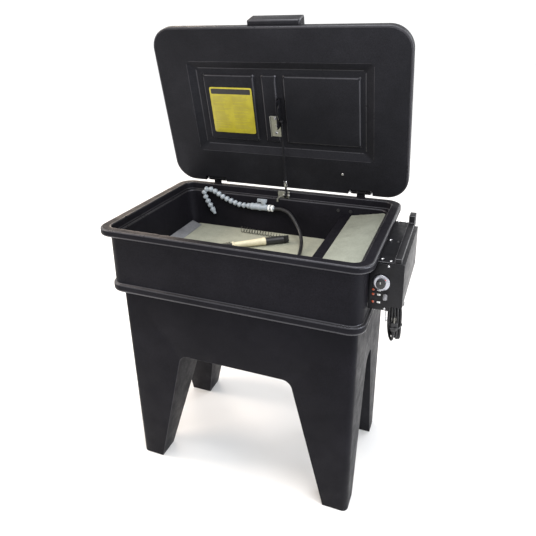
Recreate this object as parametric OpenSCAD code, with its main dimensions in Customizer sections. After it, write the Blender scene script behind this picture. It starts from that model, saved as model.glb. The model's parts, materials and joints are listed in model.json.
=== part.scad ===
// Parts washer tank: a moulded tub on a moulded stand, with a hinged lid, a stay rod,
// a valve with a ball-link nozzle, a flow-through brush and a heater control box.
// Origin: on the floor, at the centre of the whole object's outline. X right, Y back, Z up.
// The sub-parts are drawn about the stand's own centre and then moved by `stand_at`.

/* [Tub] */
// Width over the rim
rim_w = 914; // [906:2:922]
// Depth over the rim
rim_d = 602; // [598:1:606]
// Height of the rim above the floor
rim_top = 949; // [945:1:955]
// Radius of the rim's outer corners
rim_r = 55; // [45:1:60]
// Thickness of the moulded walls
wall = 6; // [5:0.5:7]

/* [Stand] */
// Height of the stand
stand_h = 717; // [712:1:720]
// Width of the stand at the top
stand_w = 830; // [824:1:836]
// Depth of the stand at the top
stand_d = 484; // [480:1:488]
// Height of the arches between the legs
arch_h = 480; // [440:1:485]
// Width of each foot
foot_w = 81; // [75:1:90]
// Depth of each foot
foot_d = 74; // [70:1:80]

/* [Lid] */
// Width of the lid
lid_w = 948; // [944:1:952]
// Length of the lid from its hinge edge to its free edge
lid_l = 623; // [620:1:626]
// Angle that the lid stands open at, from closed
open_angle = 77.31; // [70:0.01:80]
// Height of the crown above the lid's underside
crown_h = 75; // [70:1:85]

/* [Nozzle] */
// Outside diameter of a nozzle link
link_d = 22; // [20:0.5:22]
// Distance between neighbouring balls
link_pitch = 19.5; // [19:0.1:20]

/* [Controls] */
// Diameter of the dial's graduated skirt
dial_d = 50; // [44:1:52]
// Diameter of the dial's knob
knob_d = 28; // [24:1:32]

/* [Cords] */
// Diameter of the power cord
cord_d = 8; // [7:0.5:8]
// Diameter of the brush hose
hose_d = 13; // [12:0.5:13]

/* [Hidden] */

$fn = 48;
eps = 0.01;
hull_fn = 32;
gap = 0.3;
run = 0.05;

// Place of the stand's centre
stand_at = [-30, -25, 0];

// Tub
lip_h = 24;
rim_under = rim_top - lip_h;
open_w = rim_w - 68.6;
open_d = rim_d - 59.2;
open_r = 30;
step_z = rim_top - 27;
basin_w = open_w - 29.4;
basin_d = open_d - 28.8;
basin_low_w = basin_w - 32;
basin_low_d = basin_d - 12;
basin_r = 28;
shelf_z = 778;
ledge_z = shelf_z - 12;
sump_w = 740;
sump_d = 440;
sump_low_w = 724;
sump_low_d = 428;
sump_floor = 606;
skirt_w = rim_w - 52;
skirt_d = rim_d - 54;
skirt_r = 40;
shoe_w = 880;
shoe_d = 566;
shoe_r = 50;
shoe_top = 745;
rest_h = 8;

// Lid, drawn closed and then turned open about the hinge line
lid_z = rim_top + 1;
lid_back = rim_d / 2 + 6;
lid_y = lid_back - lid_l / 2;
lid_r = 80;
lid_edge = 40;
lid_wall = 6;
hinge_y = lid_back - 4.2;
hinge_z = lid_z + 15.5;
hinge_x = 300;
pin_r = 4;
knuckle_r = 8;
notch_w = 92;
recess_x = [-346, 350];
recess_s = [141, 500];
panel_x = [-317, 321];
panel_s = [168, 473];
recess_h = 14;
pads_x = [[-288, -90], [-55, -5], [28, 301]];
pad_s = [195, 447];
pad_h = 8;
pad_z = lid_z + recess_h - pad_h;
grip_x = [-91, 100];
grip_z = [15, 72];
grip_out = 22;

// Stay rod
stay_x = 16;
stay_y = 262;
stay_z = rim_top - 13;
stay_s = 285;
stay_off = 12;
stay_r = 4;
stay_pin_r = 3;
stay_turn = 80.5;
slot_steps = 10;
slot_half = 4.5;
lean = 90 - open_angle;

// Point on the stay's slot, in the lid's closed frame, at a share t of the closing travel
function turn2(v, a) = [v.x * cos(a) - v.y * sin(a), v.x * sin(a) + v.y * cos(a)];
hinge_yz = [hinge_y, hinge_z];
pivot_yz = [stay_y, stay_z];
stay_top_closed_frame = [lid_back - stay_s, lid_z - stay_off];
stay_top = hinge_yz + turn2(stay_top_closed_frame - hinge_yz, -open_angle);
stay_vec = stay_top - pivot_yz;
stay_len = norm(stay_vec);
function slot_point(t) =
  hinge_yz + turn2(pivot_yz + turn2(stay_vec, stay_turn * t) - hinge_yz, open_angle * (1 - t));

// Valve and nozzle
valve_y = 241;
valve_z = 883;
valve_x = [-129, -55];
handle_x = -72;
ball_r = 8.3;
ball_start = [-136, valve_z];
headings = [180, 177, 166, 162, 160, 157, 151, 150, 158, 180, 225, 285, 298, 300, 300, 300];
function heading_vec(a) = [cos(a), sin(a)];
function ball_at(i) =
  i == 0 ? ball_start : ball_at(i - 1) + link_pitch * heading_vec(headings[i - 1]);
elbow_from = 5;
tip_from = 13;

// Brush hose route, centre line
hose_route = [[-26, 241, 883], [2, 240, 884], [35, 232, 876], [62, 216, 856], [88, 195, 830],
  [108, 165, 808], [120, 130, 794], [130, 85, 788], [138, 30, 787], [140, -30, 786],
  [132, -95, 786], [105, -150, 786], [60, -190, 786], [0, -212, 786], [-60, -218, 786],
  [-120, -212, 786], [-175, -190, 786], [-215, -150, 786], [-235, -100, 786], [-232, -55, 787],
  [-215, -22, 789], [-190, 1, 791], [-157, 24, 794]];
// Pump supply tube route, outside the back of the tub
supply_route = [[-103, 274, 883], [-103, 284, 881], [-103, 292, 873], [-103, 293, 860],
  [-103, 293, 800], [-103, 293, 740], [-103, 292, 712], [-103, 282, 680], [-103, 268, 655],
  [-103, 258, 645], [-103, 246, 643]];

// Brush
brush_tail = [-157, 24, 794];
brush_yaw = 35.2;
guard_l = 40;
handle_l = 128;
head_l = 92;

// Controls
box_x = [434, 531];
box_y = [-190, 135];
box_z = [785, 920];
panel_z = [770, 920];
dial_x = 468;
dial_z = 860;
toggle_x = 481;
toggle_z = 814;
lamp_x = 446;
lamp_z = [835, 820, 795];

// Power cord: down from its gland into the hank, and out of its last fold up to the plug
gland = [512, -60, 785];
hank_at = [504, -130];
hank_turn = 20;
hank_t = 29;
hank_w = 72;
hank_z = [646, 772];
function in_hank(u, v, z) = [hank_at.x + u * cos(hank_turn) - v * sin(hank_turn),
  hank_at.y + u * sin(hank_turn) + v * cos(hank_turn), z];
cord_in = [[512, -60, 766], [512, -61, 748], [510.5, -69, 728], [507, -82, 706], [504, -92, 688],
  [502.9, -96.3, 670]];
out_u = -10.5;
out_v = -10;
out_z = 684;
out_r = 35;
cord_out = [for (a = [80:10:180]) in_hank(out_u, out_v + out_r * cos(a), out_z - out_r * sin(a))];
relief_h = 17;
plug_h = 26;

// Shared shapes
module plate2d(w, d, r) {
  square([w - 2 * r, d], center = true);
  square([w, d - 2 * r], center = true);
  for (sx = [-1, 1], sy = [-1, 1]) translate([sx * (w / 2 - r), sy * (d / 2 - r)]) circle(r);
}

module plate(w, d, r, z0, z1) {
  translate([0, 0, z0]) linear_extrude(z1 - z0) plate2d(w, d, r);
}

module ring(w, d, r, t, z0, z1) {
  difference() {
    plate(w, d, r, z0, z1);
    plate(w - 2 * t, d - 2 * t, max(r - t, 2), z0 - 1, z1 + 1);
  }
}

module frustum(low, high, r, z0, z1) {
  hull() {
    translate([0, 0, z0]) linear_extrude(eps) plate2d(low.x, low.y, r, $fn = hull_fn);
    translate([0, 0, z1 - eps]) linear_extrude(eps) plate2d(high.x, high.y, r, $fn = hull_fn);
  }
}

module block(x, y, z) {
  translate([x[0], y[0], z[0]]) cube([x[1] - x[0], y[1] - y[0], z[1] - z[0]]);
}

module rod_x(x0, x1, y, z, r) {
  translate([x0, y, z]) rotate([0, 90, 0]) cylinder(h = x1 - x0, r = r);
}

module rod_y(x, y0, y1, z, r) {
  translate([x, y0, z]) rotate([-90, 0, 0]) cylinder(h = y1 - y0, r = r);
}

module rod_z(x, y, z0, z1, r) {
  translate([x, y, z0]) cylinder(h = z1 - z0, r = r);
}

module screw_z(x, y, z, r, h, down) {
  rod_z(x, y, z, z + h, r);
  rod_z(x, y, z - down, z, r / 2);
}

// A tube swept along a list of points
function unit(v) = v / norm(v);
function tangent(p, i) = unit(p[min(i + 1, len(p) - 1)] - p[max(i - 1, 0)]);
function side(p, i) =
  i == 0 ? unit(cross(tangent(p, 0), abs(tangent(p, 0).z) < 0.8 ? [0, 0, 1] : [0, 1, 0]))
         : let (s = side(p, i - 1), t = tangent(p, i)) unit(s - t * (s * t));
module tube(p, r, sides) {
  rings = len(p);
  points = [for (i = [0:rings - 1]) let (t = tangent(p, i), s = side(p, i), u = cross(t, s))
    for (k = [0:sides - 1]) p[i] + r * (cos(360 * k / sides) * s + sin(360 * k / sides) * u)];
  walls = [for (i = [0:rings - 2], k = [0:sides - 1])
    [i * sides + k, (i + 1) * sides + k, (i + 1) * sides + (k + 1) % sides,
      i * sides + (k + 1) % sides]];
  polyhedron(points, concat([[for (k = [0:sides - 1]) k]], walls,
    [[for (k = [sides - 1:-1:0]) (rings - 1) * sides + k]]), convexity = 10);
}

// Points between the route's points, on a smooth curve
function spline(a, b, c, d, t) = 0.5 * (2 * b + (c - a) * t + (2 * a - 5 * b + 4 * c - d) * t * t
  + (3 * b - a - 3 * c + d) * t * t * t);
function smooth(p, n) = concat([for (i = [0:len(p) - 2], k = [0:n - 1])
  spline(p[max(i - 1, 0)], p[i], p[i + 1], p[min(i + 2, len(p) - 1)], k / n)], [p[len(p) - 1]]);

module coil_spring(r0, r1, l, turns, wire, steps, sides) {
  tube([for (i = [0:turns * steps]) let (t = i / (turns * steps), r = r0 + (r1 - r0) * t)
    [l * t, r * cos(360 * i / steps), r * sin(360 * i / steps)]], wire, sides);
}

module in_lid() {
  translate([0, hinge_y, hinge_z]) rotate([-open_angle, 0, 0])
    translate([0, -hinge_y, -hinge_z]) children();
}

// Stand
module arch(half_low, half_top, r) {
  top = [for (a = [0:10:90]) [half_top - r + r * cos(a), arch_h - r + r * sin(a)]];
  polygon(concat([[-half_low, -1], [half_low, -1]], top,
    [for (i = [len(top) - 1:-1:0]) [-top[i].x, top[i].y]]));
}

module stand() {
  foot = [stand_w - 24, stand_d - 8];
  leg_x = foot.x / 2 - foot_w;
  leg_y = foot.y / 2 - foot_d;
  deck = 10;
  color([0.11, 0.11, 0.12]) difference() {
    frustum(foot, [stand_w, stand_d], 20, 0, stand_h);
    frustum([stand_w - 20, stand_d - 15], [stand_w - 2 * wall, stand_d - 2 * wall], 16,
      arch_h + deck, stand_h + 1);
    translate([0, stand_d, 0]) rotate([90, 0, 0]) linear_extrude(2 * stand_d)
      arch(leg_x, leg_x - 114, 35);
    rotate([90, 0, 90]) translate([0, 0, -stand_w]) linear_extrude(2 * stand_w)
      arch(leg_y, 45, 30);
    for (mx = [0, 1], my = [0, 1]) mirror([mx, 0, 0]) mirror([0, my, 0]) hull() {
      block([leg_x + 8, foot.x / 2 - 7], [leg_y + 8, foot.y / 2 - 7], [-1, 0]);
      block([leg_x - 100, stand_w / 2 - 13], [60, stand_d / 2 - 10], [arch_h - 9, arch_h - 8]);
    }
    block([-160, 160], [-110, 110], [arch_h - 1, arch_h + deck + 1]);
    rod_y(-103, stand_d / 2 - 30, stand_d / 2 + 10, 643, 9);
  }
}

// Tub
module tub() {
  color([0.1, 0.1, 0.11]) difference() {
    union() {
      plate(rim_w, rim_d, rim_r, rim_under, rim_top);
      ring(skirt_w, skirt_d, skirt_r, wall, shoe_top, rim_under + 1);
      ring(shoe_w, shoe_d, shoe_r, wall, stand_h, shoe_top);
      ring(shoe_w - 2, shoe_d - 2, shoe_r - 1, 2 * wall + 4, shoe_top - wall, shoe_top);
      difference() {
        plate(shoe_w, shoe_d, shoe_r, stand_h, stand_h + rest_h);
        plate(sump_w, sump_d, 30, stand_h - 1, stand_h + rest_h + 1);
      }
      frustum([basin_low_w + 2 * wall, basin_low_d + 2 * wall],
        [basin_w + 2 * wall, basin_d + 2 * wall], basin_r + wall, ledge_z - wall, rim_under + 1);
      frustum([sump_low_w + 2 * wall, sump_low_d + 2 * wall],
        [sump_w + 2 * wall, sump_d + 2 * wall], 36, sump_floor - wall, ledge_z - wall + 1);
    }
    plate(open_w, open_d, open_r, step_z, rim_top + 1);
    frustum([basin_low_w, basin_low_d], [basin_w, basin_d], basin_r, ledge_z, step_z + eps);
    frustum([sump_low_w, sump_low_d], [sump_w, sump_d], 30, sump_floor, ledge_z + 1);
    rod_z(0, 0, sump_floor - 20, sump_floor + 10, 16);
    rod_y(-103, sump_low_d / 2 - 20, sump_d / 2 + 20, 643, 9);
    rod_y(-103, basin_low_d / 2 - 10, skirt_d / 2 + 10, valve_z, 8);
    rod_x(sump_w / 2 - 20, sump_w / 2 + 20, 0, 635, 18);
  }
}

module inside_basin() {
  intersection() {
    children();
    frustum([basin_low_w - 2, basin_low_d - 2], [basin_w - 2, basin_d - 2], basin_r - 1,
      ledge_z, step_z);
  }
}

baffle_x = [242, 285];
module baffle() {
  color([0.12, 0.12, 0.13]) difference() {
    block(baffle_x, [-basin_low_d / 2 + 1, basin_low_d / 2 - 1], [ledge_z + 6, 885]);
    block([baffle_x[0] + 5, baffle_x[1] - 5], [-basin_d, basin_d], [ledge_z, 880]);
  }
}

module work_shelf() {
  color([0.66, 0.69, 0.6]) difference() {
    block([-basin_low_w / 2 + 1, baffle_x[0] - 1],
      [-basin_low_d / 2 + 1, basin_low_d / 2 - 1], [shelf_z - 12, shelf_z]);
    block([-basin_low_w / 2 + 3, baffle_x[0] - 3],
      [-basin_low_d / 2 + 3, basin_low_d / 2 - 3], [shelf_z - 13, shelf_z - 2]);
    for (sx = [-1, 1], sy = [-1, 1])
      translate([sx * (basin_low_w / 2), sy * (basin_low_d / 2), shelf_z - 20])
        rotate([0, 0, 45]) cube([40, 40, 60], center = true);
  }
}

module shelf_apron() {
  color([0.45, 0.47, 0.47]) translate([-basin_low_w / 2 + 2, 0, shelf_z + 16])
    rotate([0, 20, 0]) translate([0, -basin_low_d / 2 + 22, -1])
      cube([44, basin_low_d - 44, 1.6]);
}

module filter_deck() {
  color([0.5, 0.52, 0.52]) inside_basin() difference() {
    block([baffle_x[0] + 2, basin_low_w / 2 - 1], [-basin_low_d / 2 + 1, basin_low_d / 2 - 1],
      [ledge_z, ledge_z + 3]);
    rod_z(338, 40, ledge_z - 5, ledge_z + 8, 30);
    rod_z(338, -140, ledge_z - 5, ledge_z + 8, 30);
  }
}

module filter_cover() {
  slope = 11;
  color([0.66, 0.69, 0.6]) inside_basin()
    translate([baffle_x[0] + 36, 0, 886]) rotate([0, -slope, 0]) {
      translate([0, -basin_low_d / 2 + 2, 0]) cube([130, basin_low_d - 4, 2]);
      translate([0, -basin_low_d / 2 + 2, -1]) cube([6, basin_low_d - 4, 2]);
    }
}

module filter_cartridge() {
  color([0.85, 0.83, 0.76]) difference() {
    union() {
      rod_z(338, 40, ledge_z + 3, ledge_z + 7, 48);
      rod_z(338, 40, ledge_z + 7, ledge_z + 101, 44);
      rod_z(338, 40, ledge_z + 101, ledge_z + 105, 48);
    }
    rod_z(338, 40, ledge_z - 1, ledge_z + 130, 15);
  }
}

module filter_post() {
  color([0.7, 0.7, 0.7]) {
    rod_z(338, 40, ledge_z + 3, ledge_z + 114, 6);
    translate([338, 40, ledge_z + 105]) cylinder(h = 5, r = 20);
    difference() {
      rod_z(338, 40, ledge_z - 3, ledge_z, 31);
      rod_z(338, 40, ledge_z - 4, ledge_z + 1, 20);
    }
    for (a = [0, 120, 240]) translate([338, 40, ledge_z - 3]) rotate([0, 0, a])
      translate([0, -3, 0]) cube([24, 6, 6]);
  }
}

module drain_fitting() {
  color([0.75, 0.6, 0.3]) difference() {
    union() {
      rod_z(0, 0, sump_floor, sump_floor + 4, 26);
      rod_z(0, 0, sump_floor - 34, sump_floor + 2, 15.9);
      translate([0, 0, sump_floor - 18]) cylinder(h = 12, r = 26, $fn = 6);
    }
    rod_z(0, 0, sump_floor - 40, sump_floor + 10, 11);
  }
}

module drain_plug() {
  color([0.2, 0.2, 0.2]) {
    rod_z(0, 0, sump_floor - 34, sump_floor - 10, 10.95);
    translate([0, 0, sump_floor - 44]) cylinder(h = 10, r = 16, $fn = 6);
  }
}

// Pump
pump = [-103, 120];
module pump_strainer() {
  color([0.2, 0.22, 0.25]) difference() {
    rod_z(pump.x, pump.y, sump_floor, sump_floor + 20, 55);
    rod_z(pump.x, pump.y, sump_floor + 3, sump_floor + 21, 50);
    for (a = [0:30:150]) translate([pump.x, pump.y, sump_floor + 11]) rotate([0, 0, a])
      cube([130, 6, 10], center = true);
  }
}

module pump_volute() {
  z = sump_floor + 20;
  color([0.2, 0.22, 0.25]) difference() {
    union() {
      rod_z(pump.x, pump.y, z, z + 34, 52);
      rod_y(pump.x, pump.y + 30, pump.y + 70, 643, 13);
    }
    rod_z(pump.x, pump.y, z + 4, z + 30, 44);
    rod_z(pump.x, pump.y, z - 1, z + 5, 16);
    rod_z(pump.x, pump.y, z + 20, z + 40, 4 + gap);
    rod_y(pump.x, pump.y + 20, pump.y + 71, 643, 7.5);
  }
}

module pump_motor() {
  z = sump_floor + 54;
  color([0.25, 0.27, 0.32]) difference() {
    union() {
      rod_z(pump.x, pump.y, z, z + 80, 38);
      rod_z(pump.x, pump.y, z + 80, z + 88, 30);
      rod_z(pump.x, pump.y, z, z + 6, 46);
    }
    rod_z(pump.x, pump.y, z - 1, z + 40, 4 + run);
  }
}

module pump_shaft() {
  color([0.75, 0.75, 0.77]) rod_z(pump.x, pump.y, sump_floor + 30, sump_floor + 92, 4);
}

module pump_impeller() {
  z = sump_floor + 27;
  color([0.9, 0.9, 0.88]) difference() {
    union() {
      rod_z(pump.x, pump.y, z + 14, z + 18, 36);
      rod_z(pump.x, pump.y, z + 2, z + 18, 9);
      for (a = [0:60:300]) translate([pump.x, pump.y, z + 3]) rotate([0, 0, a])
        translate([8, -1.5, 0]) cube([26, 3, 12]);
    }
    rod_z(pump.x, pump.y, z, z + 20, 4);
  }
}

module pump_outlet() {
  color([0.2, 0.2, 0.22]) difference() {
    union() {
      rod_y(pump.x, pump.y + 66, 246, 643, 7.4);
      rod_y(pump.x, 222.5, 230, 643, 14);
      rod_y(pump.x, 206, 214, 643, 14);
      rod_y(pump.x, stand_d / 2, stand_d / 2 + 4, 643, 14);
    }
    rod_y(pump.x, pump.y + 60, 260, 643, 5);
  }
}

module supply_tube() {
  color([0.08, 0.08, 0.08]) tube(smooth(supply_route, 2), 7.4, 12);
}

module heater_element() {
  color([0.6, 0.6, 0.62]) {
    for (s = [-1, 1]) rod_x(180, 384, 12 * s, 635, 4);
    translate([180, 0, 635]) rotate([0, 0, 90]) rotate_extrude(angle = 180)
      translate([12, 0]) circle(4);
  }
}

module heater_flange() {
  color([0.75, 0.6, 0.3]) difference() {
    union() {
      rod_x(352, 384, 0, 635, 17.9);
      rod_x(378, 392, 0, 635, 24);
    }
    for (s = [-1, 1]) rod_x(340, 384, 12 * s, 635, 4);
  }
}

module thermostat_bulb() {
  color([0.72, 0.45, 0.3]) {
    rod_x(250, 352, 0, 635, 3);
    rod_x(250, 300, 0, 635, 5);
  }
}

// Hinges
module hinge_brackets() {
  color([0.12, 0.12, 0.12]) for (x = [-hinge_x, hinge_x]) difference() {
    union() {
      block([x - 16, x + 16], [rim_d / 2, rim_d / 2 + 3.6], [rim_under + 1, hinge_z]);
      rod_x(x - 16, x + 16, hinge_y, hinge_z, knuckle_r);
    }
    rod_x(x - 20, x + 20, hinge_y, hinge_z, pin_r + run);
  }
}

module hinge_pins() {
  color([0.75, 0.75, 0.77]) for (x = [-hinge_x, hinge_x]) {
    rod_x(x - 40, x + 40, hinge_y, hinge_z, pin_r);
    for (s = [-1, 1]) rod_x(x + s * 41.5 - 1.5, x + s * 41.5 + 1.5, hinge_y, hinge_z, 6);
  }
}

module hinge_screws() {
  color([0.75, 0.75, 0.77]) for (x = [-hinge_x, hinge_x], dx = [-9, 9])
    rod_y(x + dx, rim_d / 2 + 3.6, rim_d / 2 + 6.6, rim_under + 9, 4.5);
}

module hinge_notches() {
  for (x = [-hinge_x, hinge_x])
    block([x - notch_w / 2, x + notch_w / 2], [hinge_y - 16, lid_back + 1], [lid_z - 1, lid_z + 30]);
}

// Lid
module lid_shell() {
  color([0.12, 0.12, 0.13]) in_lid() difference() {
    union() {
      translate([0, lid_y, 0]) plate(lid_w, lid_l, lid_r, lid_z, lid_z + lid_edge);
      translate([0, lid_y, 0]) frustum([lid_w, lid_l], [lid_w - 90, lid_l - 90], 60,
        lid_z + lid_edge - 1, lid_z + crown_h);
      translate([0, lid_back - lid_l - grip_out, 0]) difference() {
        block(grip_x, [0, grip_out + 30], [lid_z + grip_z[0], lid_z + grip_z[1]]);
        block([grip_x[0] + 8, grip_x[1] - 8], [8, grip_out - 4], [lid_z, lid_z + grip_z[1] - 6]);
      }
    }
    translate([0, lid_y, 0]) plate(lid_w - 2 * lid_wall, lid_l - 2 * lid_wall, lid_r - lid_wall,
      lid_z - 1, lid_z + lid_edge);
    translate([0, lid_y, 0]) frustum([lid_w - 12, lid_l - 12], [lid_w - 102, lid_l - 102], 54,
      lid_z + lid_edge - 2, lid_z + crown_h - lid_wall);
    hinge_notches();
  }
}

module lid_liner() {
  mid_x = (recess_x[0] + recess_x[1]) / 2;
  mid_s = (recess_s[0] + recess_s[1]) / 2;
  outer = [recess_x[1] - recess_x[0], recess_s[1] - recess_s[0]];
  inner = [panel_x[1] - panel_x[0], panel_s[1] - panel_s[0]];
  skin = [10, 10];
  color([0.12, 0.12, 0.13]) in_lid() difference() {
    union() {
      translate([0, lid_y, 0]) plate(lid_w - 2 * lid_wall, lid_l - 2 * lid_wall,
        lid_r - lid_wall, lid_z, lid_z + 5);
      translate([mid_x, lid_back - mid_s, 0])
        frustum(outer + skin, inner + skin, 14, lid_z + 1, lid_z + recess_h + 5);
      for (x = [-hinge_x, hinge_x])
        block([x - notch_w / 2 - 6, x + notch_w / 2 + 6], [hinge_y - 22, lid_back - lid_wall],
          [lid_z, lid_z + 36]);
    }
    translate([mid_x, lid_back - mid_s, 0])
      frustum(outer, inner, 10, lid_z - eps, lid_z + recess_h);
    hinge_notches();
  }
  color([0.12, 0.12, 0.13]) in_lid() for (x = pads_x)
    block(x, [lid_back - pad_s[1], lid_back - pad_s[0]], [pad_z, lid_z + recess_h]);
}

module hinge_leaves() {
  color([0.14, 0.14, 0.14]) in_lid() for (x = [-hinge_x, hinge_x]) difference() {
    union() {
      block([x - 38, x + 38], [hinge_y - 16, hinge_y - 13], [lid_z + 2, lid_z + 28]);
      for (s = [-1, 1]) {
        rod_x(x + s * 27 - 10, x + s * 27 + 10, hinge_y, hinge_z, knuckle_r);
        block([x + s * 27 - 10, x + s * 27 + 10], [hinge_y - 16, hinge_y],
          [hinge_z - 3, hinge_z + 3]);
      }
    }
    rod_x(x - 45, x + 45, hinge_y, hinge_z, pin_r + run);
  }
}

module lid_label() {
  color([0.93, 0.8, 0.05]) in_lid()
    block([-270, -98], [lid_back - 403, lid_back - 222],
      [pad_z - 1.2, pad_z]);
}

module lid_bracket() {
  color([0.7, 0.7, 0.66]) in_lid() {
    block([-34, 4.5], [lid_back - 300, lid_back - 218], [pad_z - 2, pad_z]);
    block([-34, -32], [lid_back - 300, lid_back - 218], [pad_z - 9, pad_z]);
    block([-34, 4.5], [lid_back - 300, lid_back - 298], [pad_z - 6, pad_z]);
  }
}

module lid_bracket_bolts() {
  color([0.8, 0.8, 0.8]) in_lid() for (p = [[-14, 290], [-14, 232], [-9, 262]])
    rod_z(p.x, lid_back - p.y, pad_z - 5, pad_z - 2, 4);
}

module stay_guide() {
  path = [for (i = [0:slot_steps]) slot_point(i / slot_steps)];
  normals = [for (i = [0:slot_steps])
    let (d = path[min(i + 1, slot_steps)] - path[max(i - 1, 0)]) [-d.y, d.x] / norm(d)];
  edge_a = [for (i = [0:slot_steps]) path[i] + slot_half * normals[i]];
  edge_b = [for (i = [slot_steps:-1:0]) path[i] - slot_half * normals[i]];
  color([0.13, 0.13, 0.13]) in_lid() difference() {
    block([5, 8], [lid_back - 366, lid_back - 262], [lid_z - 34, lid_z + recess_h]);
    translate([4, 0, 0]) rotate([90, 0, 90]) linear_extrude(5) {
      polygon(concat(edge_a, edge_b));
      translate(path[0]) circle(slot_half);
      translate(path[slot_steps]) circle(slot_half);
    }
  }
}

module lid_screw() {
  color([0.75, 0.75, 0.75]) in_lid() rod_z(235, lid_back - 82, lid_z - 1, lid_z, 5);
}

// Stay
module rim_bracket() {
  back = open_d / 2;
  color([0.78, 0.78, 0.74]) difference() {
    union() {
      block([-21, 27], [back - 2.5, back], [step_z, rim_top]);
      for (x = [5, 25]) {
        block([x, x + 2], [stay_y - 2, back], [step_z + 3, rim_top - 3]);
        rod_x(x, x + 2, stay_y, stay_z, 7);
      }
      block([-20, -14], [back - 22, back], [step_z, step_z + 2]);
      block([-20, -14], [back - 22, back - 20], [step_z - 12, step_z]);
    }
    rod_x(0, 30, stay_y, stay_z, stay_pin_r + run);
  }
}

module stay_pin() {
  color([0.8, 0.8, 0.8]) {
    rod_x(4, 28, stay_y, stay_z, stay_pin_r);
    rod_x(28, 30, stay_y, stay_z, 5);
  }
}

module stay_rod() {
  color([0.13, 0.13, 0.13]) {
    difference() {
      union() {
        rod_x(stay_x - 5, stay_x + 5, stay_y, stay_z, 6.5);
        translate([stay_x, stay_y, stay_z])
          rotate([atan2(-stay_vec.x, stay_vec.y), 0, 0]) cylinder(h = stay_len, r = stay_r);
        rod_x(stay_x - 5, stay_x + 5, stay_top.x, stay_top.y, 6);
      }
      rod_x(0, 40, stay_y, stay_z, stay_pin_r + run);
    }
    rod_x(4, stay_x, stay_top.x, stay_top.y, stay_pin_r);
    rod_x(2, 4.5, stay_top.x, stay_top.y, 6);
  }
}

module fusible_link() {
  color([0.75, 0.65, 0.4]) translate([stay_x, stay_y, stay_z])
    rotate([atan2(-stay_vec.x, stay_vec.y), 0, 0]) translate([0, 0, 40]) difference() {
      cylinder(h = 24, r = 7);
      translate([0, 0, -1]) cylinder(h = 26, r = stay_r);
    }
}

// Valve and nozzle
module valve_body() {
  color([0.72, 0.76, 0.8]) {
    rod_x(valve_x[0], valve_x[1], valve_y, valve_z, 12);
    rod_x(valve_x[0] - 4, valve_x[0], valve_y, valve_z, 5);
    translate([ball_start.x, valve_y, valve_z]) sphere(ball_r);
    rod_z(handle_x, valve_y, valve_z, valve_z + 17, 8);
    rod_y(-103, valve_y, 273, valve_z, 7.9);
    rod_y(-103, 249, 254.5, valve_z, 13);
    rod_x(valve_x[1], -26, valve_y, valve_z, 6);
  }
}

module valve_handle() {
  color([0.72, 0.76, 0.8]) {
    rod_z(handle_x, valve_y, valve_z + 17.3, valve_z + 31, 10);
    block([handle_x - 26, handle_x + 13], [valve_y - 4, valve_y + 4], [valve_z + 22, valve_z + 34]);
  }
}

module hose_nuts() {
  color([0.95, 0.95, 0.95]) for (x = [-52, -39]) difference() {
    rod_x(x, x + 7, valve_y, valve_z, 13);
    rod_x(x - 1, x + 8, valve_y, valve_z, 6);
  }
}

module nozzle_link() {
  r = link_d / 2;
  difference() {
    rotate_extrude() polygon([[0, -4], [r - 0.6, -4], [r, -2.5], [r, 5], [6, 10], [5, 12],
      [5, link_pitch - 4], [0, link_pitch - 4]]);
    sphere(ball_r + 0.15);
  }
  translate([0, 0, link_pitch]) sphere(ball_r);
}

module nozzle_links(first, last) {
  for (i = [first:last]) let (p = ball_at(i))
    translate([p.x, valve_y, p.y]) rotate([0, 90 - headings[i], 0]) nozzle_link();
}

module nozzle_arm() {
  color([0.68, 0.74, 0.8]) nozzle_links(0, elbow_from - 1);
}

module nozzle_elbow() {
  color([0.68, 0.74, 0.8]) nozzle_links(elbow_from, tip_from - 1);
}

module nozzle_tip() {
  p = ball_at(len(headings) - 1);
  color([0.72, 0.78, 0.82]) {
    nozzle_links(tip_from, len(headings) - 2);
    translate([p.x, valve_y, p.y]) rotate([0, 90 - headings[len(headings) - 1], 0]) difference() {
      rotate_extrude() polygon([[0, -4], [10.4, -4], [11, -2.5], [11, 5], [8, 11], [5.5, 24],
        [0, 24]]);
      sphere(ball_r + 0.15);
      translate([0, 0, 12]) cylinder(h = 13, r = 2.5);
    }
  }
}

// Brush and hose
module brush_hose() {
  color([0.07, 0.07, 0.07]) tube(smooth(hose_route, 2), hose_d / 2, 10);
}

module on_brush() {
  translate(brush_tail) rotate([0, 0, brush_yaw]) children();
}

module hose_spring() {
  color([0.55, 0.55, 0.5]) on_brush() translate([1, 0, 0])
    coil_spring(9.5, 12, guard_l - 3, 6, 1.1, 18, 5);
}

module brush_handle() {
  color([0.88, 0.84, 0.7]) on_brush() translate([guard_l, 0, 0]) rotate([0, 90, 0])
    rotate_extrude() polygon([[0, 0], [13, 0], [13, 6], [10, 9], [10.5, 30], [14, handle_l - 14],
      [16, handle_l - 6], [16, handle_l], [0, handle_l]]);
}

module brush_head() {
  color([0.1, 0.1, 0.1]) on_brush() translate([guard_l + handle_l, 0, 0]) rotate([0, 90, 0])
    cylinder(h = head_l - 22, r1 = 14.5, r2 = 14);
}

module brush_bristles() {
  color([0.06, 0.06, 0.06]) on_brush() translate([guard_l + handle_l + head_l - 22, 0, 0])
    rotate([0, 90, 0]) cylinder(h = 22, r1 = 13, r2 = 15.5);
}

module loose_spring() {
  color([0.55, 0.55, 0.5]) translate([-160, 212, shelf_z + 13.5]) rotate([0, 2, -3])
    coil_spring(12, 6, 176, 15, 1.1, 12, 5);
}

module wall_bolts() {
  color([0.2, 0.2, 0.2]) for (x = [226, 273]) {
    rod_y(x, 251.8, 255.8, 900, 5);
    rod_y(x, 249.8, 251.8, 900, 2.5);
  }
}

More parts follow.
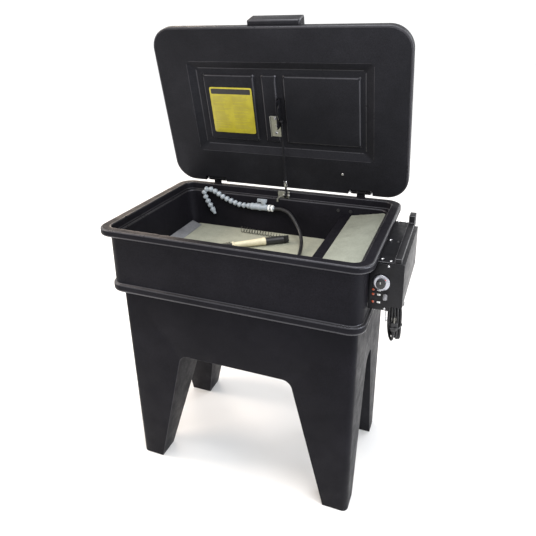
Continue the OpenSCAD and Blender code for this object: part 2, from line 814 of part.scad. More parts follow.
// Control box
module control_bracket() {
  ridge = [502, 522];
  color([0.12, 0.12, 0.13]) difference() {
    union() {
      block([skirt_w / 2 + 1, ridge[1]], [box_y[0], 150], [rim_under - 3, rim_under]);
      block(ridge, [box_y[0], 150], [rim_under - 3, rim_under + 14]);
      block(ridge, [108, 150], [rim_under, rim_under + 38]);
    }
    block([ridge[0] + 2, ridge[1] - 2], [box_y[0] + 2, 148], [rim_under - 4, rim_under + 12]);
    block([ridge[0] + 2, ridge[1] - 2], [110, 148], [rim_under, rim_under + 36]);
  }
}

module control_housing() {
  color([0.14, 0.14, 0.15]) difference() {
    block(box_x, box_y, box_z);
    block([box_x[0] + 2, box_x[1] - 2], [box_y[0] - 1, box_y[1] - 2], [box_z[0] + 2, box_z[1] - 2]);
    rod_z(gland.x, gland.y, box_z[0] - 1, box_z[0] + 3, 9);
  }
}

module control_panel() {
  face = [box_y[0] - 3, box_y[0]];
  color([0.13, 0.13, 0.14]) difference() {
    union() {
      block([skirt_w / 2 + 1, 492], face, panel_z);
      block([492, box_x[1]], face, [box_z[0], rim_under]);
    }
    rod_y(dial_x, face[0] - 1, face[1] + 1, dial_z, 5);
    rod_y(toggle_x, face[0] - 1, face[1] + 1, toggle_z, 6);
    for (z = lamp_z) rod_y(lamp_x, face[0] - 1, face[1] + 1, z, 3.5);
  }
}

module panel_hardware() {
  y = box_y[0] - 3;
  color([0.8, 0.8, 0.8]) {
    for (p = [[464, 145], [464, -25], [464, -172], [490, 145], [490, -35], [490, -180]])
      screw_z(p.x, p.y, rim_under, 5, 6, 5);
    for (p = [[480, 776], [438, 912], [486, 914]]) rod_y(p.x, y - 2.5, y, p.y, 3);
    rod_z(478, hank_at.y, 690, box_z[0], 2.5);
    rod_x(475.5, 534, hank_at.y, 760.5, 2.5);
    rod_z(531.5, hank_at.y, 758, 772, 2.5);
    translate([gland.x, gland.y, 770]) cylinder(h = 15, r = 11, $fn = 6);
    for (z = lamp_z) block([458, 467], [y - 1, y], [z - 3, z + 1]);
  }
}

module dial_skirt() {
  y = box_y[0] - 4;
  color([0.82, 0.83, 0.85]) difference() {
    union() {
      rod_y(dial_x, y - 3, y, dial_z, dial_d / 2);
      rod_y(dial_x, y - 5, y, dial_z, dial_d / 2 - 5);
    }
    rod_y(dial_x, y - 10, y + 1, dial_z, 6);
  }
}

module dial_knob() {
  y = box_y[0] - 9;
  color([0.1, 0.1, 0.11]) difference() {
    union() {
      rod_y(dial_x, y - 14, y, dial_z, knob_d / 2);
      rod_y(dial_x, y - 1, y + 5, dial_z, 6);
      rod_y(dial_x, y, box_y[0] + 8, dial_z, 3);
    }
    for (a = [0:30:330]) translate([dial_x, y - 15, dial_z]) rotate([-90, 0, 0])
      rotate([0, 0, a]) translate([knob_d / 2 + 1, 0, 0]) cylinder(h = 12, r = 2);
  }
}

module lamps() {
  y = box_y[0] - 3;
  color([0.8, 0.3, 0.12]) for (z = lamp_z) {
    rod_y(lamp_x, y, y + 12, z, 3.4);
    rod_y(lamp_x, y - 2, y, z, 5.5);
    rod_y(lamp_x, y - 4, y, z, 4);
  }
}

module toggle() {
  y = box_y[0] - 3;
  color([0.5, 0.5, 0.52]) {
    translate([toggle_x, y, toggle_z]) rotate([90 - 12, 0, 0]) {
      translate([0, 0, 2]) cylinder(h = 11, r1 = 7, r2 = 4.5);
      translate([0, 0, 1]) cylinder(h = 22, r = 3.4);
      translate([0, 0, 23]) sphere(4);
      rotate([0, 90, 0]) cylinder(h = 5, r = 1.8, center = true);
      cylinder(h = 4, r = 1.8);
    }
  }
}

module thermostat_body() {
  y = box_y[0];
  color([0.85, 0.82, 0.7]) {
    difference() {
      block([450, 488], [y + 1, y + 42], [842, 880]);
      rod_y(dial_x, y, y + 20, dial_z, 3 + gap);
    }
    block([472, 490], [y + 1, y + 34], [804, 826]);
    block([450, 500], [-40, 30], [790, 835]);
    block([450, 515], [60, 110], [790, 860]);
  }
}

// Power cord
module power_cord() {
  color([0.05, 0.05, 0.05]) {
    tube(smooth(cord_in, 2), cord_d / 2, 8);
    tube(cord_out, cord_d / 2, 8);
    translate(in_hank(out_u, out_v - out_r, out_z)) rotate([0, 0, hank_turn]) {
      cylinder(h = relief_h, r1 = 5, r2 = 8);
      block([-12, 12], [-9, 9], [relief_h, relief_h + plug_h]);
    }
  }
}

module cord_hank() {
  r = hank_w / 2;
  color([0.05, 0.05, 0.05]) translate([hank_at.x, hank_at.y, 0]) rotate([90, 0, 90 + hank_turn])
    linear_extrude(hank_t, center = true) difference() {
      union() {
        for (z = [hank_z[0] + r, hank_z[1] - r]) translate([0, z]) circle(r);
        translate([-r, hank_z[0] + r]) square([hank_w, hank_z[1] - hank_z[0] - hank_w]);
      }
      for (z = [hank_z[0] + r, hank_z[1] - r]) translate([0, z]) circle(r - cord_d);
      translate([cord_d - r, hank_z[0] + r])
        square([hank_w - 2 * cord_d, hank_z[1] - hank_z[0] - hank_w]);
    }
}

translate(stand_at) {
  stand();
  tub();
  baffle();
  work_shelf();
  shelf_apron();
  filter_deck();
  filter_cover();
  filter_cartridge();
  filter_post();
  drain_fitting();
  drain_plug();
  pump_strainer();
  pump_volute();
  pump_motor();
  pump_shaft();
  pump_impeller();
  pump_outlet();
  supply_tube();
  heater_element();
  heater_flange();
  thermostat_bulb();
  hinge_brackets();
  hinge_pins();
  hinge_screws();
  lid_shell();
  lid_liner();
  hinge_leaves();
  lid_label();
  lid_bracket();
  lid_bracket_bolts();
  stay_guide();
  lid_screw();
  rim_bracket();
  stay_pin();
  stay_rod();
  fusible_link();
  valve_body();
  valve_handle();
  hose_nuts();
  nozzle_arm();
  nozzle_elbow();
  nozzle_tip();
  brush_hose();
  hose_spring();
  brush_handle();
  brush_head();
  brush_bristles();
  loose_spring();
  wall_bolts();
  control_bracket();
  control_housing();
  control_panel();
  panel_hardware();
  dial_skirt();
  dial_knob();
  lamps();
  toggle();
  thermostat_body();
  power_cord();
  cord_hank();
}
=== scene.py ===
"""Looks for the parts washer tank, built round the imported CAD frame.

Lengths are in metres. Only what is multiplied by MM is in millimetres, as in part.scad.
"""
import json
import random
from contextlib import contextmanager
from math import atan2, cos, hypot, pi, radians, sin

import bmesh
import bpy
from mathutils import Matrix, Vector

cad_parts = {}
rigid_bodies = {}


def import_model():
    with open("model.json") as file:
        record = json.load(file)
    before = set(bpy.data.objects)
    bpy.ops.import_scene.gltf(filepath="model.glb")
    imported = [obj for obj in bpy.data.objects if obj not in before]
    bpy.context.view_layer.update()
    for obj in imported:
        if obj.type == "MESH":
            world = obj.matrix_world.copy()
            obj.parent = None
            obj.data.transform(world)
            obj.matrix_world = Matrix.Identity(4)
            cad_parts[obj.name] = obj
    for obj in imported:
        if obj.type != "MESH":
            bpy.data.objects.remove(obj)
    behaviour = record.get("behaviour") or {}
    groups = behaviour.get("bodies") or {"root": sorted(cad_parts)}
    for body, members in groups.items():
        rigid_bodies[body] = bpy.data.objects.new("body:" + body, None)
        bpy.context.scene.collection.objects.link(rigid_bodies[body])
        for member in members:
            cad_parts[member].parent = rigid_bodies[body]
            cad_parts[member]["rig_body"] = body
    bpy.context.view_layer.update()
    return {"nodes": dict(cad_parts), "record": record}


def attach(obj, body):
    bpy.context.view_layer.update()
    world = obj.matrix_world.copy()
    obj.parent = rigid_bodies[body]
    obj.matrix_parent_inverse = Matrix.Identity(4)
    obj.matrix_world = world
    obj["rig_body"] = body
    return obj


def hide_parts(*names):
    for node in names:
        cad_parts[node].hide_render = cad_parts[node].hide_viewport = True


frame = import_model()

nodes = frame["nodes"]
record_slots = {s["node"]: s["material_slot"] for s in frame["record"]["subparts"]}
MM = 0.001

# Every piece is drawn about the stand's own centre, as in part.scad, and moved by PLACE at the end.
PLACE = Vector((-0.030, -0.025, 0))
built = []

# ---------------- places shared with part.scad
# Tub: W is across, D is front to back, and each Z is a height above the floor.
RIM_W, RIM_D, RIM_TOP = 0.914, 0.602, 0.949
OPEN_W, OPEN_D = RIM_W - 0.0686, RIM_D - 0.0592
STEP_Z = RIM_TOP - 0.027
BASIN_W, BASIN_D = OPEN_W - 0.0294, OPEN_D - 0.0288
BASIN_LOW_W, BASIN_LOW_D = BASIN_W - 0.032, BASIN_D - 0.012
SHELF_Z = 0.778
LEDGE_Z = SHELF_Z - 0.012
SUMP_W, SUMP_D, SUMP_LOW_W, SUMP_LOW_D, SUMP_FLOOR = 0.740, 0.440, 0.724, 0.428, 0.606
SKIRT_W, SKIRT_D = RIM_W - 0.052, RIM_D - 0.054
SHOE_W, SHOE_D, SHOE_TOP = 0.880, 0.566, 0.745
DRAIN_HOLE = (0.0318, 0.0318, 0.0158)

# Stand
STAND_W, STAND_D, STAND_H, ARCH_H = 0.830, 0.484, 0.717, 0.480
FOOT_W, FOOT_D = 0.081, 0.074
WALL = 0.006

# Lid, drawn closed; lengths along it run forward from its back edge
LID_W, LID_L, LID_Z = 0.948, 0.623, RIM_TOP + 0.001
LID_BACK = RIM_D / 2 + 0.006
LID_Y = LID_BACK - LID_L / 2
LID_EDGE, CROWN_H = 0.040, 0.075
OPEN_ANGLE = radians(77.31)
HINGE = Vector((0, LID_BACK - 0.0042, LID_Z + 0.0155))
HINGE_X = 0.300
RECESS_H, PAD_H = 0.014, 0.008
PAD_Z = LID_Z + RECESS_H - PAD_H
LABEL_X, LABEL_S = (-0.270, -0.098), (0.222, 0.403)
LABEL_Z = PAD_Z - 0.0009
LEAF_POCKET = (0.092, 0.034, 0.004)

# Nozzle: a string of ball links, with each link's direction in degrees above +X
VALVE_Y, VALVE_Z = 0.241, 0.883
LINK_PITCH, LINK_R, BALL_R = 0.0195, 0.011, 0.0083
BALL_START = (-0.136, VALVE_Z)
HEADINGS = [180, 177, 166, 162, 160, 157, 151, 150, 158, 180, 225, 285, 298, 300, 300, 300]
ELBOW_FROM, TIP_FROM = 5, 13

# Brush, hose and power cord
BRUSH_TAIL, BRUSH_YAW = Vector((-0.157, 0.024, 0.794)), radians(35.2)
GUARD_L, HANDLE_L, HEAD_L = 0.040, 0.128, 0.092
HOSE_D, CORD_D = 0.013, 0.008
HOSE_ROUTE = [(-26, 241, 883), (2, 240, 884), (35, 232, 876), (62, 216, 856), (88, 195, 830),
              (108, 165, 808), (120, 130, 794), (130, 85, 788), (138, 30, 787), (140, -30, 786),
              (132, -95, 786), (105, -150, 786), (60, -190, 786), (0, -212, 786),
              (-60, -218, 786), (-120, -212, 786), (-175, -190, 786), (-215, -150, 786),
              (-235, -100, 786), (-232, -55, 787), (-215, -22, 789), (-190, 1, 791),
              (-157, 24, 794)]
CORD_IN = [(512, -60, 766), (512, -61, 748), (510.5, -69, 728), (507, -82, 706), (504, -92, 688),
           (502.9, -96.3, 670)]
HANK_AT, HANK_TURN = Vector((0.504, -0.130, 0)), radians(20)
HANK_T = 0.031  # how thick the bundle of turns is
OUT_V, OUT_Z, OUT_R = -0.010, 0.684, 0.035  # the last fold, which runs up into the plug

# Controls, pump and filter
PANEL_Y = -0.193
DIAL = Vector((0.468, -0.194, 0.860))
PUMP_X, PUMP_Y = -0.103, 0.120
FILTER_X, FILTER_Y = 0.338, 0.040
LAMP_X, LAMP_HEIGHTS = 0.446, (0.835, 0.820, 0.795)
TOGGLE, TOGGLE_TILT = Vector((0.481, PANEL_Y, 0.814)), radians(12)
AXIS = 0.0001  # the radius that closes the end of a turned profile

# ---------------- camera, at the photograph's angle
CAM_AT = Vector((0.674, -1.596, 1.589))
CAM_YAW, CAM_PITCH, CAM_ROLL = radians(21.6), radians(18.8), radians(-1.0)
CAM_LENS, CAM_SHIFT = 35.66, -0.1269


def make_camera():
    data = bpy.data.cameras.new("photo_camera")
    data.lens, data.sensor_width, data.shift_y = CAM_LENS, 36, CAM_SHIFT
    cam = bpy.data.objects.new("photo_camera", data)
    right = Vector((cos(CAM_YAW), sin(CAM_YAW), 0))
    ahead = Vector((-sin(CAM_YAW) * cos(CAM_PITCH),
                    cos(CAM_YAW) * cos(CAM_PITCH), -sin(CAM_PITCH)))
    up = right.cross(ahead)
    x = cos(CAM_ROLL) * right + sin(CAM_ROLL) * up
    y = -sin(CAM_ROLL) * right + cos(CAM_ROLL) * up
    cam.matrix_world = Matrix.Translation(CAM_AT + PLACE) @ Matrix((x, y, -ahead)).transposed().to_4x4()
    bpy.context.scene.collection.objects.link(cam)
    bpy.context.scene.camera = cam


make_camera()


# ---------------- material makers
mats = {}


class Shader:
    """A Principled material, kept in mats by its name, with helpers for short recipes."""

    def __init__(self, name, color, rough=0.5, metal=0.0, spec=0.5):
        material = mats[name] = bpy.data.materials.new(name)
        material.use_nodes = True
        self.tree = material.node_tree
        self.bsdf = self.tree.nodes["Principled BSDF"]
        self.set("Base Color", (*color, 1)).set("Roughness", rough)
        self.set("Metallic", metal).set("Specular IOR Level", spec)
        self.coords = self.tree.nodes.new("ShaderNodeTexCoord")
        self.normal = None

    def set(self, socket, value):
        self.bsdf.inputs[socket].default_value = value
        return self

    def link(self, source, node, socket):
        self.tree.links.new(source, node.inputs[socket])
        return self

    def noise(self, scale, detail=4, rough=0.6, stretch=(1, 1, 1)):
        mapping = self.tree.nodes.new("ShaderNodeMapping")
        mapping.inputs["Scale"].default_value = stretch
        tex = self.tree.nodes.new("ShaderNodeTexNoise")
        for socket, value in (("Scale", scale), ("Detail", detail), ("Roughness", rough)):
            tex.inputs[socket].default_value = value
        self.link(self.coords.outputs["Object"], mapping, "Vector")
        self.link(mapping.outputs["Vector"], tex, "Vector")
        return tex.outputs["Fac"]

    def ramp(self, source, stops):
        node = self.tree.nodes.new("ShaderNodeValToRGB")
        elements = node.color_ramp.elements
        while len(elements) < len(stops):
            elements.new(0.5)
        for element, (place, colour) in zip(elements, stops):
            element.position = place
            element.color = (*colour, 1)
        self.link(source, node, "Fac")
        return node.outputs["Color"]

    def grey(self, source, low, high, at=(0.35, 0.65)):
        return self.ramp(source, [(at[0], (low,) * 3), (at[1], (high,) * 3)])

    def colour(self, source):
        return self.link(source, self.bsdf, "Base Color")

    def rough(self, source):
        return self.link(source, self.bsdf, "Roughness")

    def bump(self, source, strength, distance):
        node = self.tree.nodes.new("ShaderNodeBump")
        node.inputs["Strength"].default_value = strength
        node.inputs["Distance"].default_value = distance
        self.link(source, node, "Height")
        if self.normal is not None:
            self.link(self.normal, node, "Normal")
        self.normal = node.outputs["Normal"]
        return self.link(self.normal, self.bsdf, "Normal")

    def times(self, a, b):
        """Two colours multiplied. Sockets 0, 6 and 7 are a colour mix's factor, A and B."""
        node = self.tree.nodes.new("ShaderNodeMix")
        node.data_type, node.blend_type = "RGBA", "MULTIPLY"
        node.inputs[0].default_value = 1.0
        self.link(a, node, 6).link(b, node, 7)
        return node.outputs[2]


def toned(tint, share):
    return tuple(c * share for c in tint)


def moulded_black(name, tint, spec=0.08, rough=0.5):
    """Rotomoulded polyethylene: a fine pebble, slow waves and random patches of lighter and darker
    tone.
    """
    s = Shader(name, tint, rough, spec=spec).set("Specular Tint", (0.86, 0.88, 1.0, 1))
    patch = s.ramp(s.noise(5, 5, 0.65),
                   [(0.3, toned(tint, 0.7)), (0.55, tint), (0.8, toned(tint, 1.6))])
    speck = s.grey(s.noise(420, 2, 0.5), 0.55, 1.0, (0.38, 0.62))
    s.colour(s.times(patch, speck))
    s.rough(s.grey(s.noise(18, 6, 0.7), rough - 0.10, rough + 0.08))
    s.bump(s.noise(4, 2, 0.5), 0.25, 0.004)
    s.bump(s.noise(700, 3, 0.6), 0.5, 0.0008)


def painted(name, tint, rough=0.4, mottled=0.12, spec=0.5):
    """Enamelled sheet: a faint orange peel, fine specks and slow change of colour."""
    s = Shader(name, tint, rough, spec=spec)
    slow = s.ramp(s.noise(14, 6, 0.7),
                  [(0.35, toned(tint, 1 - mottled)), (0.65, toned(tint, 1 + mottled * 0.6))])
    speck = s.grey(s.noise(260, 3, 0.6), 1 - mottled, 1.0, (0.40, 0.60))
    s.colour(s.times(slow, speck))
    s.rough(s.grey(s.noise(40, 4), rough - 0.06, rough + 0.12))
    s.bump(s.noise(900, 2), 0.12, 0.0003)


def steel(name, tint, rough=0.32):
    """Plated or drawn steel, with marks drawn out along one axis."""
    s = Shader(name, tint, rough, metal=1.0)
    drawn = (1, 1, 40)
    s.colour(s.ramp(s.noise(60, 6, 0.75), [(0.3, toned(tint, 0.72)), (0.6, tint)]))
    s.rough(s.grey(s.noise(120, 4, 0.6, drawn), rough - 0.1, rough + 0.16))
    s.bump(s.noise(180, 4, 0.7, drawn), 0.12, 0.0002)


def plastic(name, tint, rough=0.35, mottled=0.08):
    s = Shader(name, tint, rough)
    s.colour(s.ramp(s.noise(90, 5, 0.7), [(0.3, toned(tint, 1 - mottled)), (0.65, tint)]))
    s.rough(s.grey(s.noise(200, 3), rough - 0.07, rough + 0.12))
    s.bump(s.noise(1200, 2), 0.08, 0.0002)


def rubber(name, tint, rough=0.55):
    s = Shader(name, tint, rough, spec=0.35)
    s.colour(s.ramp(s.noise(70, 5), [(0.3, tint), (0.75, tuple(c * 1.9 + 0.004 for c in tint))]))
    s.rough(s.grey(s.noise(150, 4), rough - 0.12, rough + 0.12))
    s.bump(s.noise(1500, 2), 0.15, 0.0002)


def vinyl(name, low, high):
    s = Shader(name, high, 0.35)
    s.colour(s.ramp(s.noise(30, 4), [(0.35, low), (0.65, high)]))
    s.rough(s.grey(s.noise(80, 3), 0.28, 0.42))


moulded_black("tub_plastic", (0.0105, 0.0100, 0.0130))
moulded_black("stand_plastic", (0.0085, 0.0080, 0.0105))
moulded_black("lid_plastic", (0.0135, 0.0135, 0.0160), spec=0.12)
# The next material is a lighter, glossier black for the narrow faces of rounded edges: a painted
# highlight.
moulded_black("moulded_edge_highlight", (0.026, 0.025, 0.027), spec=0.5, rough=0.34)
# A much lighter paint for the rounded edges of the control pieces: a painted highlight.
painted("paint_edge_highlight", (0.11, 0.11, 0.12), 0.3, 0.3)
painted("shelf_paint", (0.40, 0.405, 0.325), 0.55, 0.14)
painted("cover_paint", (0.235, 0.250, 0.210), 0.55, 0.14)
painted("zinc_sheet", (0.21, 0.215, 0.23), 0.42, 0.25)
painted("pump_paint", (0.03, 0.045, 0.07), 0.35)
painted("black_paint", (0.008, 0.008, 0.010), 0.40, 0.3, spec=0.22)
painted("box_paint", (0.009, 0.009, 0.0115), 0.38, 0.3, spec=0.22)
steel("zinc_steel", (0.52, 0.52, 0.48), 0.36)
steel("bright_steel", (0.75, 0.75, 0.77), 0.24)
steel("brass", (0.70, 0.52, 0.24), 0.3)
steel("spring_steel", (0.11, 0.11, 0.10), 0.38)
steel("aged_nickel", (0.20, 0.195, 0.18), 0.36)
steel("dial_silver", (0.50, 0.51, 0.56), 0.30)
plastic("filter_media", (0.72, 0.68, 0.57), 0.7)
plastic("black_plastic", (0.017, 0.017, 0.019), 0.42)
plastic("pump_plastic", (0.03, 0.034, 0.042), 0.5)
plastic("white_plastic", (0.86, 0.87, 0.86), 0.3)
plastic("nozzle_plastic", (0.33, 0.37, 0.41), 0.33, 0.18)
plastic("cream_plastic", (0.72, 0.66, 0.47), 0.45, 0.2)
plastic("lamp_orange", (0.36, 0.060, 0.022), 0.25)
plastic("red_mark", (0.62, 0.02, 0.015), 0.35)
plastic("label_ink", (0.012, 0.011, 0.010), 0.35)
plastic("label_rule", (0.23, 0.20, 0.05), 0.4)
vinyl("label_yellow", (0.31, 0.265, 0.018), (0.39, 0.335, 0.022))
rubber("hose_rubber", (0.012, 0.012, 0.013), 0.4)
rubber("bristle", (0.012, 0.012, 0.012), 0.6)
rubber("boot_rubber", (0.16, 0.16, 0.17), 0.5)
rubber("cord_rubber", (0.010, 0.010, 0.011), 0.45)


# ---------------- mesh helpers
def move(place):
    return Matrix.Translation(place)


def spin(angle, axis):
    return Matrix.Rotation(angle, 4, axis)


def along(direction):
    """A rotation that takes +Z to a direction."""
    return Vector(direction).to_track_quat("Z", "Y").to_matrix().to_4x4()


@contextmanager
def editing(mesh):
    """Opens a mesh for changes and puts them back."""
    bm = bmesh.new()
    bm.from_mesh(mesh)
    yield bm
    bm.to_mesh(mesh)
    bm.free()


def linked(name, data):
    obj = bpy.data.objects.new(name, data)
    bpy.context.scene.collection.objects.link(obj)
    return obj


def dress(obj, slot, body, replaced=(), mat=None):
    """Gives a piece its material, which is the slot's own unless mat names another, and its body."""
    if obj not in built:
        built.append(obj)
    obj.data.materials.clear()
    obj.data.materials.append(mats[mat or slot])
    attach(obj, body)
    if replaced:
        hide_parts(*replaced)
    return obj


def make(name, data, slot, body, replaced=(), mat=None):
    """A piece from its mesh's (verts, faces)."""
    mesh = bpy.data.meshes.new(name)
    mesh.from_pydata([tuple(v) for v in data[0]], [], data[1])
    mesh.validate()
    return dress(linked(name, mesh), slot, body, replaced, mat)


def in_lid(obj):
    """Turns a piece drawn on the closed lid to the open rest position."""
    obj.data.transform(move(HINGE) @ spin(-OPEN_ANGLE, "X") @ move(-HINGE))
    return obj


def piece(name, parts, slot, body, replaced=(), angle=32, mat=None):
    """A shaded piece joined from (verts, faces) pairs, each with a matrix behind it or none."""
    verts, faces = [], []
    for v, f, *placed in parts:
        base = len(verts)
        verts += [placed[0] @ Vector(p) for p in v] if placed else v
        faces += [tuple(base + i for i in face) for face in f]
    obj = shade(make(name, (verts, faces), slot, body, replaced, mat), angle)
    return in_lid(obj) if body == "lid" else obj


def bake(obj):
    """Applies every modifier."""
    graph = bpy.context.evaluated_depsgraph_get()
    mesh = bpy.data.meshes.new_from_object(obj.evaluated_get(graph))
    obj.modifiers.clear()
    obj.data = mesh


def shade(obj, angle=32):
    """Smooth shading, with edges sharper than the angle kept crisp."""
    with editing(obj.data) as bm:
        bmesh.ops.recalc_face_normals(bm, faces=bm.faces)
        for face in bm.faces:
            face.smooth = True
        for edge in bm.edges:
            edge.smooth = len(edge.link_faces) == 2 and edge.calc_face_angle(0) < radians(angle)
    return obj


def highlight_edges(obj, material="moulded_edge_highlight", width=0.0032):
    """Gives the narrow faces of the rounded edges a lighter, glossier material of their own: a painted
    highlight along the edges.
    """
    obj.data.materials.append(mats[material])
    with editing(obj.data) as bm:
        for face in bm.faces:
            longest = max(edge.calc_length() for edge in face.edges)
            bends = [edge.calc_face_angle(0) for edge in face.edges
                     if edge.calc_length() > 0.6 * longest]
            if (len(face.verts) <= 4 and face.calc_area() / longest < width < longest
                    and min(bends) > radians(6)):
                face.material_index = 1
    return obj


def bevel(obj, width, segments=3, angle=30):
    mod = obj.modifiers.new("bevel", "BEVEL")
    mod.width, mod.segments = width, segments
    mod.limit_method, mod.angle_limit = "ANGLE", radians(angle)
    mod.use_clamp_overlap = True
    bake(obj)
    return shade(obj, 40)


def cut(obj, data):
    """Cuts a closed solid, given as (verts, faces), out of a piece."""
    mesh = bpy.data.meshes.new("cutter")
    mesh.from_pydata(data[0], [], data[1])
    with editing(mesh) as bm:
        bmesh.ops.recalc_face_normals(bm, faces=bm.faces)
    cutter = linked("cutter", mesh)
    mod = obj.modifiers.new("cut", "BOOLEAN")
    mod.operation, mod.object, mod.solver = "DIFFERENCE", cutter, "EXACT"
    bake(obj)
    bpy.data.objects.remove(cutter)


def ngon(r, count, cx=0.0, cy=0.0):
    return [(cx + r * cos(2 * pi * k / count), cy + r * sin(2 * pi * k / count)) for k in range(count)]


def loop(w, d, r, n=8, cx=0.0, cy=0.0):
    """A rounded rectangle, anticlockwise from its right side."""
    points = []
    corners = ((1, 1, 0), (-1, 1, 90), (-1, -1, 180), (1, -1, 270))
    for sx, sy, start in corners:
        for k in range(n + 1):
            a = radians(start + 90 * k / n)
            points.append((cx + sx * (w / 2 - r) + r * cos(a),
                           cy + sy * (d / 2 - r) + r * sin(a)))
    return points


def soften(path, radii, steps=4):
    """Rounds the corners of a path of (w, d, r, z) sections, with a radius for each."""
    out = [Vector(path[0])]
    for a, p, b, size in zip(path, path[1:], path[2:], radii[1:]):
        a, p, b = Vector(a), Vector(p), Vector(b)

        def reach(q):
            gap = hypot((q[0] - p[0]) / 2, q[3] - p[3])
            return min(size / max(gap, 1e-9), 0.49)

        if size <= 0:
            out.append(p)
            continue
        start, end = p.lerp(a, reach(a)), p.lerp(b, reach(b))
        for k in range(steps + 1):
            t = k / steps
            out.append((1 - t) ** 2 * start + 2 * t * (1 - t) * p + t * t * end)
    return out + [Vector(path[-1])]


def rounded_sections(path):
    """Rounds the same corners of a small piece, all to 2 mm or as far as they allow."""
    return soften(path, [0] + [0.002] * (len(path) - 2) + [0], 3)


def loft_data(rings, cap_start=False, cap_end=False, closed=False):
    """The (verts, faces) of a skin through rings of equally many points."""
    count = len(rings[0])
    verts = [p for ring in rings for p in ring]
    faces = []
    spans = len(rings) if closed else len(rings) - 1
    for i in range(spans):
        j = (i + 1) % len(rings)
        for k in range(count):
            m = (k + 1) % count
            faces.append((i * count + k, i * count + m, j * count + m, j * count + k))
    if cap_start:
        faces.append(tuple(reversed(range(count))))
    if cap_end:
        faces.append(tuple(range((len(rings) - 1) * count, len(rings) * count)))
    return verts, faces


def capped(rings):
    return loft_data(rings, True, True)


def sections(path, n=8, cx=0.0, cy=0.0):
    """The rings of a path of (w, d, r, z) sections."""
    return [[(x, y, z) for x, y in loop(w, d, max(r, 0.0005), n, cx, cy)] for w, d, r, z in path]


def prism(outline, low, high, axis="z"):
    """A prism of a 2-D outline along an axis; the outline's two numbers are the other two axes."""
    order = {"z": lambda a, b, h: (a, b, h), "y": lambda a, b, h: (a, h, b),
             "x": lambda a, b, h: (h, a, b)}[axis]
    return capped([[order(a, b, h) for a, b in outline] for h in (low, high)])


def block(xs, ys, zs):
    """A box between two values of x, of y and of z."""
    return prism([(xs[0], ys[0]), (xs[1], ys[0]), (xs[1], ys[1]), (xs[0], ys[1])], *zs)


def lathe_data(profile, count=32):
    """Turns a profile of (radius, height) round Z."""
    return capped([[(x, y, z) for x, y in ngon(r, count)] for r, z in profile])


def rounded_profile(points, radius, steps=3):
    """Rounds a 2-D profile's corners."""
    out = [points[0]]
    for a, p, b in zip(points, points[1:], points[2:]):
        va, vb = Vector(a) - Vector(p), Vector(b) - Vector(p)
        ta = min(radius / max(va.length, 1e-9), 0.45)
        tb = min(radius / max(vb.length, 1e-9), 0.45)
        s, e, q = Vector(p) + va * ta, Vector(p) + vb * tb, Vector(p)
        for k in range(steps + 1):
            t = k / steps
            out.append(tuple((1 - t) ** 2 * s + 2 * t * (1 - t) * q + t * t * e))
    out.append(points[-1])
    return out


def catmull(points, n):
    out = []
    last = len(points) - 1
    for i in range(last):
        a, b, c, d = (Vector(points[j]) for j in (max(i - 1, 0), i, i + 1, min(i + 2, last)))
        for k in range(n):
            t = k / n
            out.append(0.5 * (2 * b + (c - a) * t + (2 * a - 5 * b + 4 * c - d) * t * t
                              + (3 * b - a - 3 * c + d) * t ** 3))
    out.append(Vector(points[-1]))
    return out


def tube_data(path, radius, sides=10):
    rings = []
    side = None
    for i, p in enumerate(path):
        t = (path[min(i + 1, len(path) - 1)] - path[max(i - 1, 0)]).normalized()
        if side is None:
            side = t.cross(Vector((0, 0, 1)) if abs(t.z) < 0.8 else Vector((0, 1, 0))).normalized()
        side = (side - t * side.dot(t)).normalized()
        up = t.cross(side)
        rings.append([p + x * side + y * up for x, y in ngon(radius, sides)])
    return capped(rings)


def refine(node, width=0.0008, segments=2, mat=None):
    """A CAD node's own shape with its flat faces joined up and its edges rounded."""
    source = nodes[node]
    body = source["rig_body"]
    obj = linked(node + "_finished", source.data.copy())
    with editing(obj.data) as bm:
        bmesh.ops.remove_doubles(bm, verts=bm.verts, dist=1e-5)
        bmesh.ops.dissolve_limit(bm, angle_limit=radians(1), verts=bm.verts, edges=bm.edges)
        bm.transform(move(-PLACE))
    dress(obj, record_slots[node], body, (node,), mat)
    if width:
        bevel(obj, width, segments)
    else:
        shade(obj)
    # The control pieces' rounded edges get the much lighter edge paint: a painted highlight.
    if node.startswith("control"):
        highlight_edges(obj, "paint_edge_highlight", 0.0012)


def refine_all(width, segments, *names):
    for node in names:
        refine(node, width, segments)


